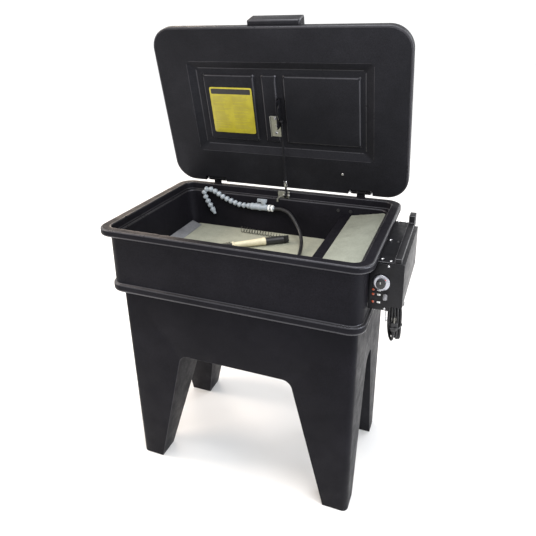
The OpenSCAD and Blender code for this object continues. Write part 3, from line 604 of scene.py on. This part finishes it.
# ---------------- the mouldings
def tub():
    """The tub in one skin: basin, step, rolled rim, skirt, shoe and underside."""
    path = [
        (*DRAIN_HOLE, SUMP_FLOOR), (SUMP_LOW_W, SUMP_LOW_D, 0.03, SUMP_FLOOR),
        (SUMP_W, SUMP_D, 0.03, LEDGE_Z), (BASIN_LOW_W, BASIN_LOW_D, 0.028, LEDGE_Z),
        (BASIN_W, BASIN_D, 0.028, STEP_Z), (OPEN_W, OPEN_D, 0.030, STEP_Z),
        (OPEN_W, OPEN_D, 0.030, RIM_TOP), (RIM_W, RIM_D, 0.055, RIM_TOP),
        (RIM_W, RIM_D, 0.055, RIM_TOP - 0.024), (SKIRT_W, SKIRT_D, 0.040, RIM_TOP - 0.024),
        (SKIRT_W, SKIRT_D, 0.040, SHOE_TOP), (SHOE_W, SHOE_D, 0.050, SHOE_TOP),
        (SHOE_W, SHOE_D, 0.050, STAND_H), (SUMP_W + 0.03, SUMP_D + 0.02, 0.036, STAND_H),
        (SUMP_LOW_W + 0.012, SUMP_LOW_D + 0.012, 0.036, SUMP_FLOOR - WALL),
        (*DRAIN_HOLE, SUMP_FLOOR - WALL)]
    radii = [0, 0.02, 0.006, 0.006, 0.005, 0.003, 0.0045, 0.0065, 0.006, 0.006, 0.005, 0.007,
             0.008, 0.006, 0.02, 0]
    rings = sections(soften(path, radii, 5), 12)
    obj = make("tub_moulding", loft_data(rings, closed=True), "tub_plastic", "frame", ("tub",))
    tube_holes = ((SUMP_D / 2, 0.643, 0.009), (SKIRT_D / 2 - 0.01, VALVE_Z, 0.008))
    for y, z, r in tube_holes:
        cut(obj, prism(ngon(r, 24, PUMP_X, z), y - 0.03, y + 0.03, "y"))
    dress(obj, "tub_plastic", "frame")
    highlight_edges(shade(obj, 50))


def arch_outline(half_low, half_top, r, n=8):
    """Outline of the cut between two legs, in (across, height)."""
    slope = atan2(half_low - half_top, ARCH_H)
    right = [(half_low, -0.02)]
    for k in range(n + 1):
        a = slope + (pi / 2 - slope) * k / n
        right.append((half_top - r * cos(slope) + r * cos(a), ARCH_H - r + r * sin(a)))
    return right + [(-x, z) for x, z in reversed(right)]


def stand():
    low = (STAND_W - 0.024, STAND_D - 0.008)
    outer = sections([(*low, 0.020, 0.0), (STAND_W, STAND_D, 0.020, STAND_H)])
    obj = make("stand_moulding", capped(outer), "stand_plastic", "frame", ("stand",))
    hollow = sections([(STAND_W - 0.03, STAND_D - 0.02, 0.016, ARCH_H + 0.012),
                       (STAND_W - 0.012, STAND_D - 0.012, 0.016, STAND_H + 0.01)], 4)
    leg_x, leg_y = low[0] / 2 - FOOT_W, low[1] / 2 - FOOT_D
    cut(obj, capped(hollow))
    cut(obj, prism(arch_outline(leg_x, leg_x - 0.114, 0.035), -0.4, 0.4, "y"))
    cut(obj, prism(arch_outline(leg_y, 0.045, 0.030), -0.6, 0.6, "x"))
    cut(obj, prism(loop(0.32, 0.22, 0.02, 4), ARCH_H - 0.01, ARCH_H + 0.03))
    dress(obj, "stand_plastic", "frame")
    bevel(obj, 0.005, 3, 25)
    highlight_edges(obj)


def hinge_pockets(obj):
    """Cuts the room that the two hinge leaves need in the lid's back edge."""
    for x in (-HINGE_X, HINGE_X):
        pocket = loop(*LEAF_POCKET, 3, x, HINGE.y + 0.001)
        cut(obj, prism(pocket, LID_Z - 0.01, LID_Z + 0.030))
    dress(obj, "lid_plastic", "lid")


def lid_outer():
    crown = LID_Z + CROWN_H
    path = [(LID_W - 0.012, LID_L - 0.012, 0.074, LID_Z), (LID_W, LID_L, 0.080, LID_Z),
            (LID_W, LID_L, 0.080, LID_Z + LID_EDGE), (LID_W - 0.090, LID_L - 0.090, 0.060, crown),
            (0.30, 0.12, 0.03, crown)]
    outer = soften(path, [0, 0.005, 0.016, 0.03, 0], 6)
    inner = [(0.30, 0.12, 0.03, crown - WALL), (LID_W - 0.102, LID_L - 0.102, 0.054, crown - WALL),
             (LID_W - 0.012, LID_L - 0.012, 0.074, LID_Z + LID_EDGE - 0.002),
             (LID_W - 0.012, LID_L - 0.012, 0.074, LID_Z)]
    obj = make("lid_shell_moulding", capped(sections(inner + outer, 14, cy=LID_Y)), "lid_plastic",
               "lid", ("lid_shell",))
    hinge_pockets(obj)
    in_lid(highlight_edges(shade(obj, 50)))


def lid_grip():
    y0 = LID_BACK - LID_L - 0.022
    z0, z1 = LID_Z + 0.015, LID_Z + 0.072
    outline = [(y0, z1), (y0 + 0.004, z0), (y0 + 0.026, z0), (y0 + 0.026, z1 - 0.034),
               (y0 + 0.060, z1 - 0.004), (y0 + 0.052, z1)]
    obj = make("lid_grip", prism(outline, -0.091, 0.100, "x"), "lid_plastic", "lid")
    bevel(obj, 0.0045, 3)
    in_lid(highlight_edges(obj))


def lid_inner():
    """The lid's underside: a flat border, a stepped-in field and three raised pads."""
    step_x, step_s = (-0.346, 0.350), (0.141, 0.500)
    floor_x, floor_s = (-0.317, 0.321), (0.168, 0.473)
    w, d, r = LID_W - 0.0125, LID_L - 0.0125, 0.0738
    border = [(w, d, r, LID_Z + 0.010), (w, d, r, LID_Z + 0.001),
              (w - 0.002, d - 0.002, r - 0.001, LID_Z)]
    step_w, step_d = step_x[1] - step_x[0], step_s[1] - step_s[0]
    field = soften([(step_w + 0.01, step_d + 0.01, 0.012, LID_Z), (step_w, step_d, 0.010, LID_Z),
                    (floor_x[1] - floor_x[0], floor_s[1] - floor_s[0], 0.008, LID_Z + RECESS_H),
                    (0.5, 0.2, 0.008, LID_Z + RECESS_H)], [0, 0.004, 0.004, 0])
    rings = (sections(border, 14, cy=LID_Y)
             + sections(field, 14, sum(step_x) / 2, LID_BACK - sum(step_s) / 2))
    obj = make("lid_liner_moulding", loft_data(rings, False, True), "lid_plastic", "lid",
               ("lid_liner",))
    hinge_pockets(obj)
    in_lid(highlight_edges(shade(obj, 40)))
    pads = []
    s0, s1 = 0.195, 0.447
    for x0, x1 in ((-0.288, -0.090), (-0.055, -0.005), (0.028, 0.301)):
        w, d = x1 - x0, s1 - s0
        path = soften([(w + 0.010, d + 0.010, 0.006, LID_Z + RECESS_H + 0.001),
                       (w, d, 0.005, PAD_Z), (w * 0.5, d * 0.5, 0.004, PAD_Z)], [0, 0.003, 0])
        rings = sections(path, 6, (x0 + x1) / 2, LID_BACK - (s0 + s1) / 2)
        pads.append(loft_data(rings, False, True))
    highlight_edges(piece("lid_pads", pads, "lid_plastic", "lid", angle=40))


tub()
stand()
lid_outer()
lid_grip()
lid_inner()


# ---------------- label
def label_print(name, boxes, mat, lift):
    """Thin printed shapes on the label, each given by two values of x and two of the way forward."""
    parts = []
    for x0, x1, s0, s1 in boxes:
        outline = loop(x1 - x0, s1 - s0, min(0.0035, (s1 - s0) * 0.3), 3, (x0 + x1) / 2,
                       LID_BACK - (s0 + s1) / 2)
        parts.append(prism(outline, LABEL_Z + 0.0002, LABEL_Z - lift))
    piece(name, parts, "label_yellow", "lid", mat=mat)


def lid_label():
    """A yellow plate with a black band and two columns of plain rules."""
    (x0, x1), (s0, s1) = LABEL_X, LABEL_S
    w, d = x1 - x0, s1 - s0
    path = soften([(w, d, 0.008, PAD_Z), (w, d, 0.008, LABEL_Z), (0.1, 0.1, 0.006, LABEL_Z)],
                  [0, 0.0004, 0], 2)
    plate = capped(sections(path, 6, (x0 + x1) / 2, LID_BACK - (s0 + s1) / 2))
    piece("lid_label_plate", [plate], "label_yellow", "lid", ("lid_label",), 40)
    label_print("lid_label_band", [(x0 + 0.006, x1 - 0.006, s1 - 0.026, s1 - 0.006)], "label_ink",
                0.00015)
    random.seed(7)
    rules = []
    for left, right in ((x0 + 0.010, -0.188), (-0.180, x1 - 0.010)):
        s = s1 - 0.036
        while s > s0 + 0.016:
            length = (right - left) * random.uniform(0.55, 1.0)
            rules.append((left, left + length, s, s + 0.0011))
            s -= random.choice((0.0042, 0.0042, 0.0042, 0.009))
    label_print("lid_label_rules", rules, "label_rule", 0.0001)


lid_label()


# ---------------- nozzle, valve and hose nuts
def ball_at(i):
    x, z = BALL_START
    for h in HEADINGS[:i]:
        x += LINK_PITCH * cos(radians(h))
        z += LINK_PITCH * sin(radians(h))
    return Vector((x, VALVE_Y, z))


def link_data():
    r = LINK_R
    cup = [(0.0058, -0.0040), (r - 0.0008, -0.0040), (r, -0.0022), (r, 0.0046), (0.0072, 0.0092),
           (0.0052, 0.0118), (0.0050, LINK_PITCH - 0.006)]
    ball = [(BALL_R * cos(radians(a)), LINK_PITCH + BALL_R * sin(radians(a)))
            for a in range(-50, 89, 12)]
    return lathe_data([(AXIS, -0.003)] + rounded_profile(cup, 0.0012) + ball, 28)


def nozzle():
    """Ball links in three groups, each of which turns on the one before it."""
    def on_link(i):
        h = radians(HEADINGS[i])
        return move(ball_at(i)) @ along((cos(h), 0, sin(h)))

    link = link_data()
    last = len(HEADINGS) - 1
    tip = rounded_profile([(0.0058, -0.0040), (0.0104, -0.0040), (0.011, -0.002), (0.011, 0.005),
                           (0.008, 0.011), (0.0052, 0.0235), (0.0026, 0.0235), (0.0024, 0.014)],
                          0.0009)
    spout = (*lathe_data([(AXIS, -0.003)] + tip + [(AXIS, 0.014)], 28), on_link(last))
    for name, first, end, body, node, more in (
            ("nozzle_links_lower", 0, ELBOW_FROM, "nozzle_1", "nozzle_arm", []),
            ("nozzle_links_middle", ELBOW_FROM, TIP_FROM, "nozzle_2", "nozzle_elbow", []),
            ("nozzle_links_upper", TIP_FROM, last, "nozzle_3", "nozzle_tip", [spout])):
        parts = [(*link, on_link(i)) for i in range(first, end)] + more
        piece(name, parts, "nozzle_plastic", body, (node,), 35)


def turned(name, profile, at, direction, slot, body, replaced=(), count=32, radius=0.0008,
           angle=35, mat=None):
    """A turned piece: a rounded profile about an axis."""
    v, f = lathe_data(rounded_profile(profile, radius), count)
    piece(name, [(v, f, move(at) @ along(direction))], slot, body, replaced, angle, mat)


def valve():
    refine("valve_body", 0.0012, 3)
    turned("valve_collar", [(AXIS, 0), (0.0138, 0), (0.0138, 0.008), (0.0125, 0.012),
                            (0.0125, 0.030), (0.0138, 0.034), (0.0138, 0.042), (AXIS, 0.042)],
           (-0.124, VALVE_Y, VALVE_Z), (1, 0, 0), "nozzle_plastic", "frame")
    refine("valve_handle", 0.0016, 3)
    refine("hose_nuts", 0.0012, 3)


nozzle()
valve()


# ---------------- brush, springs and hoses
ON_BRUSH = move(BRUSH_TAIL) @ spin(BRUSH_YAW, "Z")
ALONG_BRUSH = ON_BRUSH @ along((1, 0, 0))


def coil(r0, r1, length, turns, wire, steps=20):
    """A spring along X that widens or narrows from r0 to r1."""
    path = []
    for i in range(turns * steps + 1):
        t = i / (turns * steps)
        r = r0 + (r1 - r0) * t
        a = 2 * pi * i / steps
        path.append(Vector((length * t, r * cos(a), r * sin(a))))
    return tube_data(path, wire, 8)


def brush():
    handle = [(AXIS, 0), (0.0128, 0), (0.0128, 0.006), (0.0098, 0.009), (0.0104, 0.030),
              (0.0122, 0.070), (0.0138, HANDLE_L - 0.014), (0.0158, HANDLE_L - 0.007),
              (0.0158, HANDLE_L), (AXIS, HANDLE_L)]
    data = lathe_data(rounded_profile(handle, 0.0012), 40)
    piece("brush_handle_turned", [(*data, ALONG_BRUSH @ move((0, 0, GUARD_L)))], "cream_plastic",
          "frame", ("brush_handle",), 40)
    start, sleeve = GUARD_L + HANDLE_L, HEAD_L - 0.022
    head = [(AXIS, 0), (0.0143, 0), (0.0145, 0.004), (0.0139, 0.006), (0.0138, sleeve - 0.004),
            (0.0143, sleeve - 0.002), (0.0143, sleeve), (AXIS, sleeve)]
    data = lathe_data(rounded_profile(head, 0.0008), 36)
    piece("brush_ferrule", [(*data, ALONG_BRUSH @ move((0, 0, start)))], "black_plastic", "frame",
          ("brush_head",), 40)
    random.seed(3)
    tufts = []
    for ring in range(7):
        r = 0.0018 + ring * 0.0018
        count = max(int(r / 0.0009), 4)
        for k in range(count):
            a = 2 * pi * k / count + random.uniform(0, 0.4)
            flare = 1 + 0.08 * random.random()
            tip = start + sleeve + 0.0205 + random.uniform(-0.0012, 0.0012)
            path = [Vector((x, out * r * cos(a), out * r * sin(a)))
                    for x, out in ((start + sleeve - 0.002, 1), (tip, flare * 1.03))]
            tufts.append((*tube_data(path, 0.00075, 5), ON_BRUSH))
    piece("brush_tufts", tufts, "bristle", "frame", ("brush_bristles",), 60)


def springs():
    guard = coil(0.0095, 0.012, GUARD_L - 0.003, 6, 0.0011)
    piece("hose_spring_coil", [(*guard, ON_BRUSH @ move((0.001, 0, 0)))], "spring_steel", "frame",
          ("hose_spring",), 60)
    loose = coil(0.012, 0.006, 0.176, 15, 0.0011)
    laid = move((-0.160, 0.212, SHELF_Z + 0.0135)) @ spin(radians(-3), "Z") @ spin(radians(2), "Y")
    piece("loose_spring_coil", [(*loose, laid)], "spring_steel", "frame", ("loose_spring",), 60)


def tidy_path(points, step):
    """The same line with its close points dropped and its kinks eased."""
    kept = [points[0]]
    for p in points[1:-1]:
        if (p - kept[-1]).length > step:
            kept.append(p)
    kept.append(points[-1])
    for _ in range(3):
        kept = ([kept[0]] + [(a + 2 * b + c) / 4 for a, b, c in zip(kept, kept[1:], kept[2:])]
                + [kept[-1]])
    return kept


def hose():
    points = catmull([Vector(p) * MM for p in HOSE_ROUTE], 6)
    ahead = Vector((cos(BRUSH_YAW), sin(BRUSH_YAW), 0))
    points += [BRUSH_TAIL + ahead * (GUARD_L + HANDLE_L) * k / 8 for k in range(1, 8)]
    obj = piece("brush_hose_run", [tube_data(points, HOSE_D / 2, 20)], "hose_rubber", "frame",
                ("brush_hose",), 50)


HANK = move(HANK_AT) @ spin(HANK_TURN, "Z")


def hank_points():
    """Turns of the bundled cord: long loops side by side, every other one wider."""
    pts, steps = [], 14

    def arc(u, step, v0, v1, z, rise):
        """Half a turn from v0 to v1, over the top or round the bottom, easing sideways by step."""
        centre, r = (v0 + v1) / 2, (v0 - v1) / 2
        for k in range(steps + 1):
            share = k / steps
            ease = share * share * (3 - 2 * share)
            a = pi * share
            pts.append(HANK @ Vector((u + step * ease, centre + r * cos(a),
                                      z + rise * abs(r) * sin(a))))

    widths = (0.033, 0.0275, 0.033, 0.0275, 0.033, 0.0275)
    lows = (0.680, 0.674, 0.685, 0.682, 0.692, OUT_Z)
    apexes = (0.7735, 0.767, 0.7735, 0.767, 0.7735)
    pitch = (HANK_T - CORD_D) / len(apexes)
    u = (HANK_T - CORD_D) / 2
    for wide, after, low, next_low, apex in zip(widths, widths[1:], lows, lows[1:], apexes):
        top = apex - (wide + after) / 2
        arc(u, 0, wide, -wide, low, -1)
        pts.append(HANK @ Vector((u, -wide, (low + top) / 2)))
        arc(u, -pitch, -wide, after, top, 1)
        u -= pitch
        pts.append(HANK @ Vector((u, after, (next_low + top) / 2)))
    arc(u, 0, widths[-1], OUT_V - OUT_R, OUT_Z, -1)
    return pts


def plug(stand_up):
    """The moulded plug, its strain relief and its blades, pointing up from the cord's end."""
    path = [(0.012, 0.012, 0.005, 0.012), (0.0235, 0.018, 0.006, 0.019),
            (0.0235, 0.018, 0.006, 0.042), (0.018, 0.013, 0.004, 0.043)]
    data = capped(sections(rounded_sections(path), 4))
    body = piece("plug_body", [(*data, stand_up)], "cord_rubber", "frame", angle=40)
    rib = [(0.0035, 0), (0.0058, 0), (0.0058, 0.0022), (0.0035, 0.0022)]
    ribs = [(*lathe_data(rounded_profile(rib, 0.0006), 20),
             stand_up @ move((0, 0, 0.0005 + 0.0030 * k))) for k in range(4)]
    relief = piece("plug_strain_relief", ribs, "cord_rubber", "frame", angle=40)
    path = [(0.0015, 0.0063, 0.0004, 0.042), (0.0015, 0.0063, 0.0004, 0.0575),
            (0.0010, 0.0045, 0.0003, 0.059)]
    flat = capped(sections(rounded_sections(path), 2))
    pins = [(*flat, stand_up @ move((x, 0.0015, 0))) for x in (-0.0063, 0.0063)]
    pins.append((*lathe_data([(0.0024, 0.042), (0.0024, 0.059), (0.0015, 0.061)], 16),
                 stand_up @ move((0, -0.0055, 0))))
    blades = piece("plug_blades", pins, "bright_steel", "frame", (), 40, "aged_nickel")
    return [body, relief, blades]


def cord_tie():
    """A strap pulled tight about the hank's front runs and the plug, with its square head."""
    held = [(15.0, -23.0), (15.2, -36.5), (1.5, -54.0), (-22.5, -54.0), (-22.5, -36.0),
            (-15.0, -23.0)]

    def around(gap, z):
        out = []
        for ahead in (Vector(p) for p in ngon(1, 36)):
            far = max((Vector(p) * MM for p in held), key=ahead.dot)
            out.append((*(far + ahead * gap), z))
        return out

    low, high = 0.7090, 0.7138
    strap = [around(0.0018, low), around(0.0018, high), around(0.0005, high), around(0.0005, low)]
    head = prism(loop(0.007, 0.006, 0.0012, 3, -0.008, -0.0570), low - 0.0007, high + 0.0007)
    tie = piece("cord_tie", [(*loft_data(strap, closed=True), HANK), (*head, HANK)],
                "black_plastic", "frame")
    bevel(tie, 0.0004, 2)
    return tie


def power_cord():
    into = catmull([Vector(p) * MM for p in CORD_IN[:-1]], 4)
    points = tidy_path(into + hank_points(), 0.004)
    obj = piece("power_cord_run", [tube_data(points, CORD_D / 2, 14)], "cord_rubber", "frame",
                ("power_cord", "cord_hank"), 50)
    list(plug(move(points[-1]) @ spin(HANK_TURN, "Z")))
    cord_tie()


springs()
brush()
hose()
power_cord()


# ---------------- shelf, filter and wet end
def spokes(name, count, foot, out, low, high, x, y, slot):
    """Thin upright fins round a cylinder; foot and out are a fin's (radius, half thickness)."""
    (r0, t0), (r1, t1) = foot, out
    fin = prism([(r0, -t0), (r1, -t1), (r1, t1), (r0, t0)], low, high)
    fins = [(*fin, move((x, y, 0)) @ spin(2 * pi * k / count, "Z")) for k in range(count)]
    piece(name, fins, slot, "frame")


def shelf():
    refine("work_shelf", 0.0015, 3)
    refine("shelf_apron", 0.0005, 2, "zinc_sheet")
    refine("baffle", 0.0012, 2)
    refine("filter_cover", 0.0006, 2, "cover_paint")
    refine_all(0.0006, 2, "filter_deck", "filter_cartridge", "filter_post", "drain_fitting",
               "drain_plug", "pump_strainer", "pump_volute", "pump_motor", "pump_shaft",
               "pump_impeller", "pump_outlet", "heater_flange")
    refine_all(0, 2, "heater_element", "thermostat_bulb", "supply_tube")
    spokes("filter_pleats", 60, (0.0435, 0.0006), (0.0462, 0.0001), LEDGE_Z + 0.008,
           LEDGE_Z + 0.100, FILTER_X, FILTER_Y, "filter_media")
    spokes("pump_motor_fins", 24, (0.037, 0.0012), (0.0405, 0.0008), SUMP_FLOOR + 0.062,
           SUMP_FLOOR + 0.130, PUMP_X, PUMP_Y, "pump_paint")


shelf()


# ---------------- hinges, stay and fasteners
def screw_heads(name, places, direction, r, h, slot, body, hexed=False, replaced=()):
    """Domed heads with a cross recess, or hexagon heads with a washer."""
    heads, crosses = [], []
    for p in places:
        m = move(p) @ along(direction)
        if hexed:
            rings = [[(share * x, share * y, z) for x, y in ngon(r, 6)]
                     for share, z in ((1, 0), (1, h * 0.85), (0.9, h))]
            washer = [(AXIS, -h * 0.1), (r * 1.35, -h * 0.1), (r * 1.35, h * 0.18), (AXIS, h * 0.18)]
            heads += [(*capped(rings), m), (*lathe_data(washer, 24), m)]
            continue
        dome = [(AXIS, 0), (r, 0), (r, h * 0.3)]
        dome += [(r * cos(radians(t)), h * 0.3 + h * 0.7 * sin(radians(t))) for t in range(15, 90, 15)]
        heads.append((*lathe_data(dome + [(AXIS, h)], 24), m))
        slit = block((-r * 0.55, r * 0.55), (-r * 0.09, r * 0.09), (h * 0.4, h * 1.01))
        crosses += [(*slit, m @ spin(turn + 0.4, "Z")) for turn in (0, pi / 2)]
    piece(name, heads, slot, body, replaced, 35)
    if crosses:
        piece(name + "_recess", crosses, slot, body, (), 35, "black_plastic")


def hinges_and_stay():
    refine_all(0.0008, 2, "hinge_brackets", "hinge_leaves", "fusible_link")
    refine_all(0.0006, 2, "hinge_pins", "stay_guide", "stay_rod")
    refine_all(0.0005, 2, "lid_bracket", "rim_bracket", "stay_pin")
    places = [(x + dx, RIM_D / 2 + 0.0036, RIM_TOP - 0.015) for x in (-HINGE_X, HINGE_X)
              for dx in (-0.009, 0.009)]
    screw_heads("hinge_screw_heads", places, (0, 1, 0), 0.0045, 0.003, "bright_steel", "frame",
                replaced=("hinge_screws",))
    screw_heads("lid_screw_head", [(0.235, LID_BACK - 0.082, LID_Z)], (0, 0, -1), 0.005, 0.0012,
                "bright_steel", "lid", replaced=("lid_screw",))
    places = [(x, LID_BACK - s, PAD_Z - 0.002)
              for x, s in ((-0.014, 0.290), (-0.014, 0.232), (-0.009, 0.262))]
    screw_heads("bracket_bolt_heads", places, (0, 0, -1), 0.0045, 0.003, "bright_steel", "lid", True,
                ("lid_bracket_bolts",))
    screw_heads("baffle_bolt_heads", [(x, 0.2558, 0.900) for x in (0.226, 0.273)], (0, -1, 0),
                0.0050, 0.004, "black_plastic", "frame", True, ("wall_bolts",))


hinges_and_stay()


# ---------------- controls
def on_panel(place):
    """Stands what is drawn along +Z on the control panel's face, at a place."""
    return move(place) @ along((0, -1, 0))


def controls():
    """The control box, its screws, the cord's hook and gland, and the plates beside the lamps."""
    refine("control_housing", 0.0016, 3)
    refine("control_bracket", 0.0010, 3)
    refine("control_panel", 0.0009, 3)
    refine("thermostat_body", 0.0008, 2)
    top = RIM_TOP - 0.024
    places = ((464, 145), (464, -25), (464, -172), (490, 145), (490, -180))
    screw_heads("bracket_screw_heads", [(x * MM, y * MM, top) for x, y in places], (0, 0, 1), 0.0048,
                0.0036, "bright_steel", "frame", replaced=("panel_hardware",))
    screw_heads("bracket_black_screw", [(0.490, -0.035, top)], (0, 0, 1), 0.0050, 0.0036,
                "black_plastic", "frame")
    places = ((480, 776), (438, 912), (486, 914))
    screw_heads("panel_screw_heads", [(x * MM, PANEL_Y, z * MM) for x, z in places], (0, -1, 0),
                0.0034, 0.0024, "bright_steel", "frame")
    bar = ((478, -130, 760.5), (484, -130, 760.5), (506, -130, 760.5), (524, -130, 760.5),
           (528.5, -130, 762), (530.4, -130, 766), (530.8, -130, 772))
    stem = ((478, -130, 785), (478, -130, 750), (478, -130, 715), (478, -129, 702),
            (478, -124, 694), (478, -117, 694), (478, -113, 701))
    wires = [tube_data(catmull([Vector(p) * MM for p in route], 5), 0.0025, 12)
             for route in (bar, stem)]
    piece("cord_hook", wires, "bright_steel", "frame", angle=50)
    gland = [(AXIS, 0), (0.0085, 0), (0.0095, 0.004), (0.0095, 0.009), (0.0065, 0.016), (AXIS, 0.016)]
    turned("cord_gland", gland, (0.512, -0.060, 0.776), (0, 0, -1), "black_plastic", "frame")
    nut = piece("cord_gland_nut", [prism(ngon(0.011, 6, 0.512, -0.060), 0.7765, 0.785)],
                "black_plastic", "frame")
    bevel(nut, 0.0010, 2)
    plates = [block((0.458, 0.4675), (PANEL_Y - 0.0008, PANEL_Y + 0.0002), (z - 0.0035, z + 0.0020))
              for z in LAMP_HEIGHTS]
    bevel(piece("lamp_label_plates", plates, "white_plastic", "frame"), 0.0003, 2)
    rules = [block((0.4592, 0.4592 + w), (PANEL_Y - 0.00095, PANEL_Y - 0.0007),
                   (z + dz, z + dz + 0.0005)) for z in LAMP_HEIGHTS
             for dz, w in ((-0.0022, 0.006), (-0.0008, 0.0068), (0.0006, 0.005))]
    piece("lamp_label_rules", rules, "black_plastic", "frame")


def dial():
    turned("dial_ring", [(0.006, 0), (0.0250, 0), (0.0250, 0.0030), (0.0205, 0.0050),
                         (0.0140, 0.0052), (0.006, 0.0052)], DIAL, (0, -1, 0), "dial_silver",
           "dial", ("dial_skirt",), 64, 0.0008, 25)
    marks = []
    for k in range(33):
        long = 0.0042 if k % 4 == 0 else 0.0026
        mark = block((0.0243 - long, 0.0243), (-0.00022, 0.00022), (0.0028, 0.0036))
        marks.append((*mark, on_panel(DIAL) @ spin(radians(-45 + 270 * k / 32), "Z")))
    piece("dial_graduations", marks, "dial_silver", "dial", mat="black_plastic")
    turned("dial_red_mark", [(AXIS, 0), (0.0017, 0), (0.0017, 0.0006), (AXIS, 0.0006)],
           DIAL + Vector((0.0125, -0.0052, 0.0125)), (0, -1, 0), "dial_silver", "dial",
           mat="red_mark")
    flutes = 18
    rings = []
    for r, z in ((0.0060, 0.0005), (0.0138, 0.0005), (0.0140, 0.0012), (0.0134, 0.0125),
                 (0.0126, 0.0138), (0.0110, 0.0140)):
        deep = 0.0009 if r > 0.0120 else 0
        angles = [2 * pi * k / (flutes * 6) for k in range(flutes * 6)]
        dips = [deep * max(cos(flutes * a), 0) ** 2 for a in angles]
        rings.append([((r - dip) * cos(a), (r - dip) * sin(a), z) for a, dip in zip(angles, dips)])
    piece("dial_knob_fluted", [(*capped(rings), on_panel(DIAL + Vector((0, -0.005, 0))))],
          "black_plastic", "dial", ("dial_knob",), 35)
    pointer = block((DIAL.x - 0.0006, DIAL.x + 0.0006), (DIAL.y - 0.0193, DIAL.y - 0.0188),
                    (DIAL.z + 0.0035, DIAL.z + 0.0105))
    piece("dial_pointer", [pointer], "black_plastic", "dial", mat="white_plastic")


def lamps():
    bezel = [(0.0038, 0), (0.0055, 0), (0.0055, 0.0014), (0.0046, 0.0022), (0.0038, 0.0022)]
    lens = [(AXIS, -0.010), (0.0034, -0.010), (0.0041, 0.0), (0.0041, 0.0022), (0.0034, 0.0038),
            (0.0018, 0.0046), (AXIS, 0.0048)]
    for i, z in enumerate(LAMP_HEIGHTS):
        at = (LAMP_X, PANEL_Y, z)
        turned("lamp_bezel_%d" % i, bezel, at, (0, -1, 0), "lamp_orange", "frame", (), 32, 0.0004,
               mat="black_plastic")
        turned("lamp_lens_%d" % i, lens, at, (0, -1, 0), "lamp_orange", "frame",
               () if i else ("lamps",), 32, 0.0006)


def toggle():
    """A booted lever over a fixed oval rubber base."""
    out = Vector((0, -cos(TOGGLE_TILT), sin(TOGGLE_TILT)))
    boot = [(AXIS, 0.0), (0.0052, 0.0), (0.0052, 0.0016), (0.0048, 0.0022), (0.0052, 0.0036),
            (0.0044, 0.0048), (0.0048, 0.0062), (0.0040, 0.0074), (0.0044, 0.0088),
            (0.0036, 0.0100), (0.0039, 0.0112), (0.0031, 0.0124), (0.0028, 0.0160),
            (0.0033, 0.0180), (0.0034, 0.0205), (0.0027, 0.0222), (0.0014, 0.0228), (AXIS, 0.0229)]
    turned("toggle_boot", boot, TOGGLE + out * 0.0018, out, "boot_rubber", "toggle_lever",
           ("toggle",), 28, 0.0005, 45)
    dome = soften([(0.0125, 0.0215, 0.0062, 0.0), (0.0125, 0.0215, 0.0062, 0.0016),
                   (0.0108, 0.0196, 0.0054, 0.0016), (0.0094, 0.0176, 0.0046, 0.0050),
                   (0.0040, 0.0100, 0.0018, 0.0056)], [0, 0.0004, 0.0003, 0.0012, 0], 3)
    piece("toggle_base", [(*capped(sections(dome)), move(TOGGLE) @ spin(pi / 2, "X"))],
          "boot_rubber", "frame", angle=40)


controls()
dial()
lamps()
toggle()


# ---------------- light and floor
def area(name, at, look, size, power, colour=(1, 1, 1)):
    """A square lamp at a place, turned to look at another."""
    data = bpy.data.lights.new(name, "AREA")
    data.energy, data.size, data.color = power, size, colour
    obj = linked(name, data)
    obj.location = at
    obj.rotation_euler = (Vector(look) - Vector(at)).to_track_quat("-Z", "Y").to_euler()


def studio():
    world = bpy.data.worlds.new("studio")
    world.use_nodes = True
    back = world.node_tree.nodes["Background"]
    back.inputs["Color"].default_value = (1, 1, 1, 1)
    back.inputs["Strength"].default_value = 1.12
    bpy.context.scene.world = world
    bpy.context.scene.view_settings.view_transform = "Standard"
    area("key", (3.4, -0.7, 1.3), (0.1, 0, 0.6), 1.2, 60, (0.93, 0.96, 1))
    area("top", (-0.2, 0.2, 3.6), (0, 0, 0.9), 1.2, 30)
    area("basin", (0.6, -0.8, 2.4), (-0.1, 0.2, 0.85), 0.8, 20)
    area("left", (-2.8, -0.6, 2.6), (-0.3, 0, 0.8), 1.0, 60, (1, 0.84, 0.70))
    area("back_left", (-2.7, 3.2, 2.3), (-0.4, 0, 0.95), 1.4, 40, (1, 0.80, 0.62))
    area("back_right", (2.4, 2.8, 3.0), (0.3, 0.3, 1.2), 0.9, 30, (0.92, 0.95, 1))
    bpy.ops.mesh.primitive_plane_add(size=40, location=(0, 0, -0.0004))
    floor = bpy.context.object
    floor.name = "studio_floor"
    s = Shader("studio_floor", (0.91, 0.91, 0.91), 0.8, spec=0.2)
    s.colour(s.ramp(s.noise(3, 4), [(0.3, (0.90, 0.90, 0.90)), (0.7, (0.93, 0.93, 0.93))]))
    floor.data.materials.append(mats["studio_floor"])


studio()

for obj in built:
    obj.data.transform(move(PLACE))

bpy.context.view_layer.update()
